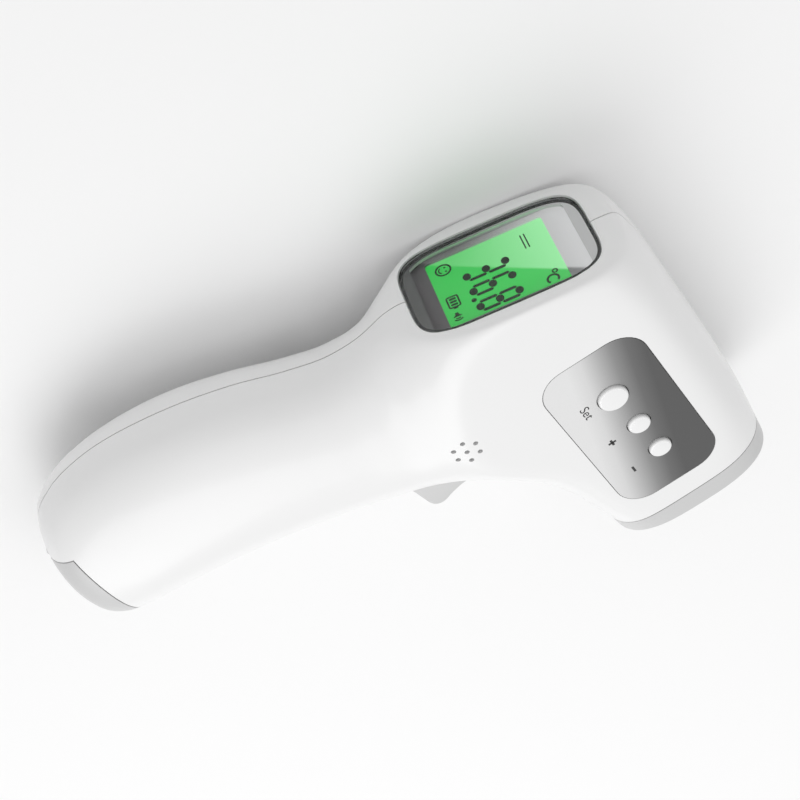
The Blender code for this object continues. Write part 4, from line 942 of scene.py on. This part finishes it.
def painted_glare_finish(name, color, low, high):
    """Grey moulding or print behind the window, with the same painted reflection in its emission
    as the screen.
    """
    made = finish(name, color, 0.5, drift=0.02)
    tree = made.node_tree
    shader = tree.nodes["Principled BSDF"]
    where = next(n for n in tree.nodes if n.type == "TEX_COORD").outputs["Object"]
    # Painted reflection put into the emission.
    tree.links.new(painted_glare(tree, where, low, high), shader.inputs["Emission Color"])
    shader.inputs["Emission Strength"].default_value = 1.0
    return made


def pane_finish():
    """Clear tinted window with faint smears in its gloss."""
    made, tree, shader, where = new_material("tinted_pane")
    smear = tree.nodes.new("ShaderNodeTexNoise")
    smear.inputs["Scale"].default_value = 60.0
    tree.links.new(where, smear.inputs["Vector"])
    gloss = ramp(tree, smear.outputs["Fac"], [(0.0, grey(0.015)), (1.0, grey(0.06))])
    tree.links.new(gloss, shader.inputs["Roughness"])
    shader.inputs["Base Color"].default_value = (0.93, 0.94, 0.94, 1.0)
    shader.inputs["Transmission Weight"].default_value = 1.0
    shader.inputs["IOR"].default_value = 1.25
    return made


def board_tone(tree, where):
    """Solder mask over tracks: a brick pattern's lines, a little lighter than the board."""
    tracks = tree.nodes.new("ShaderNodeTexBrick")
    tracks.inputs["Scale"].default_value = 260.0
    tracks.inputs["Color1"].default_value = (0.012, 0.12, 0.05, 1.0)
    tracks.inputs["Color2"].default_value = (0.014, 0.14, 0.055, 1.0)
    tracks.inputs["Mortar"].default_value = (0.03, 0.22, 0.09, 1.0)
    tracks.inputs["Mortar Size"].default_value = 0.03
    tree.links.new(where, tracks.inputs["Vector"])
    return tracks.outputs["Color"]


def cell_tone(tree, where):
    """Battery wrap: dark with a copper band near its positive end."""
    start = (0.0, -94.0, 0.0)
    return ramp(tree, along(tree, where, start, (0.0, -48.0, 0.0)),
                [(0.0, (0.012, 0.015, 0.03)), (0.68, (0.012, 0.015, 0.03)),
                 (0.70, (0.45, 0.2, 0.06)), (1.0, (0.5, 0.24, 0.08))])


white = finish("white_moulding", grey(0.86), 0.3, drift=0.015, unevenness=0.05, coat=0.1)
cap_white = finish("white_button_moulding", grey(0.88), 0.25, drift=0.01, unevenness=0.05,
                   coat=0.2)
light_grey = finish("light_grey_moulding", grey(0.6), 0.36, drift=0.03, unevenness=0.08)
black = finish("black_moulding", grey(0.02), 0.45, drift=0.2)
funnel_black = finish("satin_black_cone", grey(0.035), 0.3, drift=0.1)
mask_black = finish("printed_black", grey(0.006), 0.25, drift=0.1)
ink = finish("printed_ink", grey(0.03), 0.5, drift=0.1)
figure_ink = finish("display_ink", (0.004, 0.012, 0.004), 0.6, drift=0.1)
label_finish = finish("silver_label_film", label_tone, 0.34, metallic=0.15, drift=0.02,
                      unevenness=0.06, grain=2500.0)
rating_finish = finish("satin_rating_film", grey(0.55), 0.42, metallic=0.3, drift=0.03)
steel = finish("bright_steel", grey(0.5), 0.28, metallic=1.0, drift=0.08, unevenness=0.2,
               grain=1500.0, bump=0.1)
nickel = finish("nickel_contact", (0.6, 0.57, 0.5), 0.25, metallic=1.0, drift=0.06,
                unevenness=0.2)
filter_dark = finish("sensor_filter_dark", (0.02, 0.02, 0.03), 0.08, drift=0.1, coat=0.5)
boards = finish("solder_mask_board", board_tone, 0.35, drift=0.1, grain=900.0, bump=0.2)
wrap = finish("battery_wrap_film", cell_tone, 0.3, metallic=0.4, drift=0.05)
diffuser = finish("milky_diffuser", (0.75, 0.8, 0.75), 0.6)
rubber = finish("contact_rubber", (0.35, 0.3, 0.3), 0.8, drift=0.15, bump=0.3)
red = finish("red_insulation", (0.42, 0.015, 0.015), 0.45, drift=0.08)
dark = finish("black_insulation", grey(0.015), 0.45, drift=0.1)
screen_finish = lit_screen()
# Painted reflection: the frame and the border print behind the window get a painted glare in
# their emission, and the frame is painted paler towards its top.
surround = painted_glare_finish("display_surround", surround_painted_reflection, 0.08, 0.42)
border_grey = painted_glare_finish("window_border_print", grey(0.17), 0.04, 0.36)
pane = pane_finish()

# ------------------------------------------------------------- pieces on their bodies
PIECES = [
    (right_housing, "body", white, "white_plastic", "right_housing"),
    (left_housing, "body", white, "white_plastic", "left_housing"),
    (nozzle_ring, "body", light_grey, "light_grey_plastic", "nozzle_ring"),
    (battery_door, "battery_door", light_grey, "light_grey_plastic", "battery_door"),
    (window_pane, "body", pane, "tinted_window", "display_window"),
    (window_mask, "body", mask_black, "black_plastic", None),
    (window_border, "body", border_grey, "display_frame_grey", None),
    (lcd_screen, "body", screen_finish, "lcd_glass", "lcd_glass"),
    (lcd_surround, "body", surround, "display_frame_grey", "lcd_frame"),
    (figures, "body", figure_ink, "lcd_glass", None),
    (button_label, "body", label_finish, "silver_label", "button_label"),
    (set_mark, "body", ink, "silver_label", None),
    (sign_marks, "body", ink, "silver_label", None),
    (trigger, "trigger", light_grey, "light_grey_plastic", "trigger"),
    (funnel, "body", funnel_black, "black_plastic", "sensor_funnel"),
    (sensor_can, "body", steel, "steel", "ir_sensor"),
    (sensor_filter, "body", filter_dark, "black_plastic", None),
    (rating_sheet, "body", rating_finish, "rating_label_silver", "rating_label"),
    (rating_print, "body", ink, "rating_label_silver", None),
]
PIECES += [(cap, f"{name}_button", cap_white, "white_plastic", f"{name}_button")
           for name, cap in caps.items()]
PIECES += [(screw, "body", steel, "steel", f"screw_{number}")
           for number, screw in enumerate(screws, 1)]
for piece, body, look, slot, node in PIECES:
    piece.data.materials.clear()
    piece.data.materials.append(look)
    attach(piece, body)
    if node:
        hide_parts(node)

KEPT = {
    black: ("set_switch", "plus_switch", "minus_switch", "processor_chip", "buzzer",
            "trigger_switch", "battery_tray"),
    boards: ("sensor_board", "display_board", "main_board", "trigger_board"),
    steel: ("sensor_holder", "trigger_pin", "negative_spring", "door_pin"),
    nickel: ("positive_contact", "door_contact"),
    wrap: ("rear_battery", "front_battery"),
    diffuser: ("lcd_backlight",),
    rubber: ("upper_contact_strip", "lower_contact_strip"),
    red: ("positive_lead",),
    dark: ("negative_lead",),
}
for look, names in KEPT.items():
    for name in names:
        frame["nodes"][name].material_slots[0].material = look

# ------------------------------------------------------------- floor, light and camera
floor_finish = finish("pale_floor", grey(0.93), 0.85, drift=0.0, unevenness=0.02)
FLOOR_REACH = 6000.0
FLOOR_Z = (-0.0002 - ORIGIN[2]) * 1000.0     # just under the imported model's lowest point
corners = [(-FLOOR_REACH, -FLOOR_REACH, FLOOR_Z), (FLOOR_REACH, -FLOOR_REACH, FLOOR_Z),
           (FLOOR_REACH, FLOOR_REACH, FLOOR_Z), (-FLOOR_REACH, FLOOR_REACH, FLOOR_Z)]
floor = new_piece("floor", corners, [[0, 1, 2, 3]], False)
floor.data.materials.append(floor_finish)

world = bpy.data.worlds.new("studio")
bpy.context.scene.world = world
world.use_nodes = True
world.node_tree.nodes["Background"].inputs["Color"].default_value = (1.0, 1.0, 1.0, 1.0)
world.node_tree.nodes["Background"].inputs["Strength"].default_value = 0.6
bpy.context.scene.view_settings.view_transform = "Standard"


def soft_light(name, location, target, size, power):
    """Square area light aimed at a point."""
    data = bpy.data.lights.new(name, "AREA")
    data.size = size
    data.energy = power
    light = bpy.data.objects.new(name, data)
    bpy.context.scene.collection.objects.link(light)
    light.location = location
    way = np.array(target, float) - np.array(location, float)
    light.rotation_euler = Vector(way).to_track_quat("-Z", "Y").to_euler()


soft_light("key", (0.45, -0.55, 0.85), (0.0, -0.02, 0.02), 0.9, 5.0)
soft_light("top", (0.1, 0.2, 1.2), (0.0, 0.0, 0.0), 1.2, 3.0)

# The camera looks down on the right side from behind and above, turned about its own axis.
TURN, RISE, ROLL = math.radians(42.0), math.radians(10.5), math.radians(-57.0)
back = np.array((-math.sin(TURN) * math.cos(RISE), math.sin(RISE),
                 math.cos(TURN) * math.cos(RISE)))
right = np.array((math.cos(TURN), 0.0, math.sin(TURN)))
up = np.cross(back, right)
axes = np.array(((math.cos(ROLL) * right - math.sin(ROLL) * up),
                 (math.sin(ROLL) * right + math.cos(ROLL) * up), back))
AIM = np.array((1.437, 21.51, -434.7))    # the body's zero point as the camera sees it, in mm
eye = to_row(-axes.T @ AIM)
camera_data = bpy.data.cameras.new("camera")
camera_data.lens = 88.49
camera_data.sensor_width = 36.0
camera = bpy.data.objects.new("camera", camera_data)
bpy.context.scene.collection.objects.link(camera)
matrix = np.eye(4)
matrix[:3, :3] = axes.T
matrix[:3, 3] = eye
camera.matrix_world = Matrix(matrix.tolist())
bpy.context.scene.camera = camera
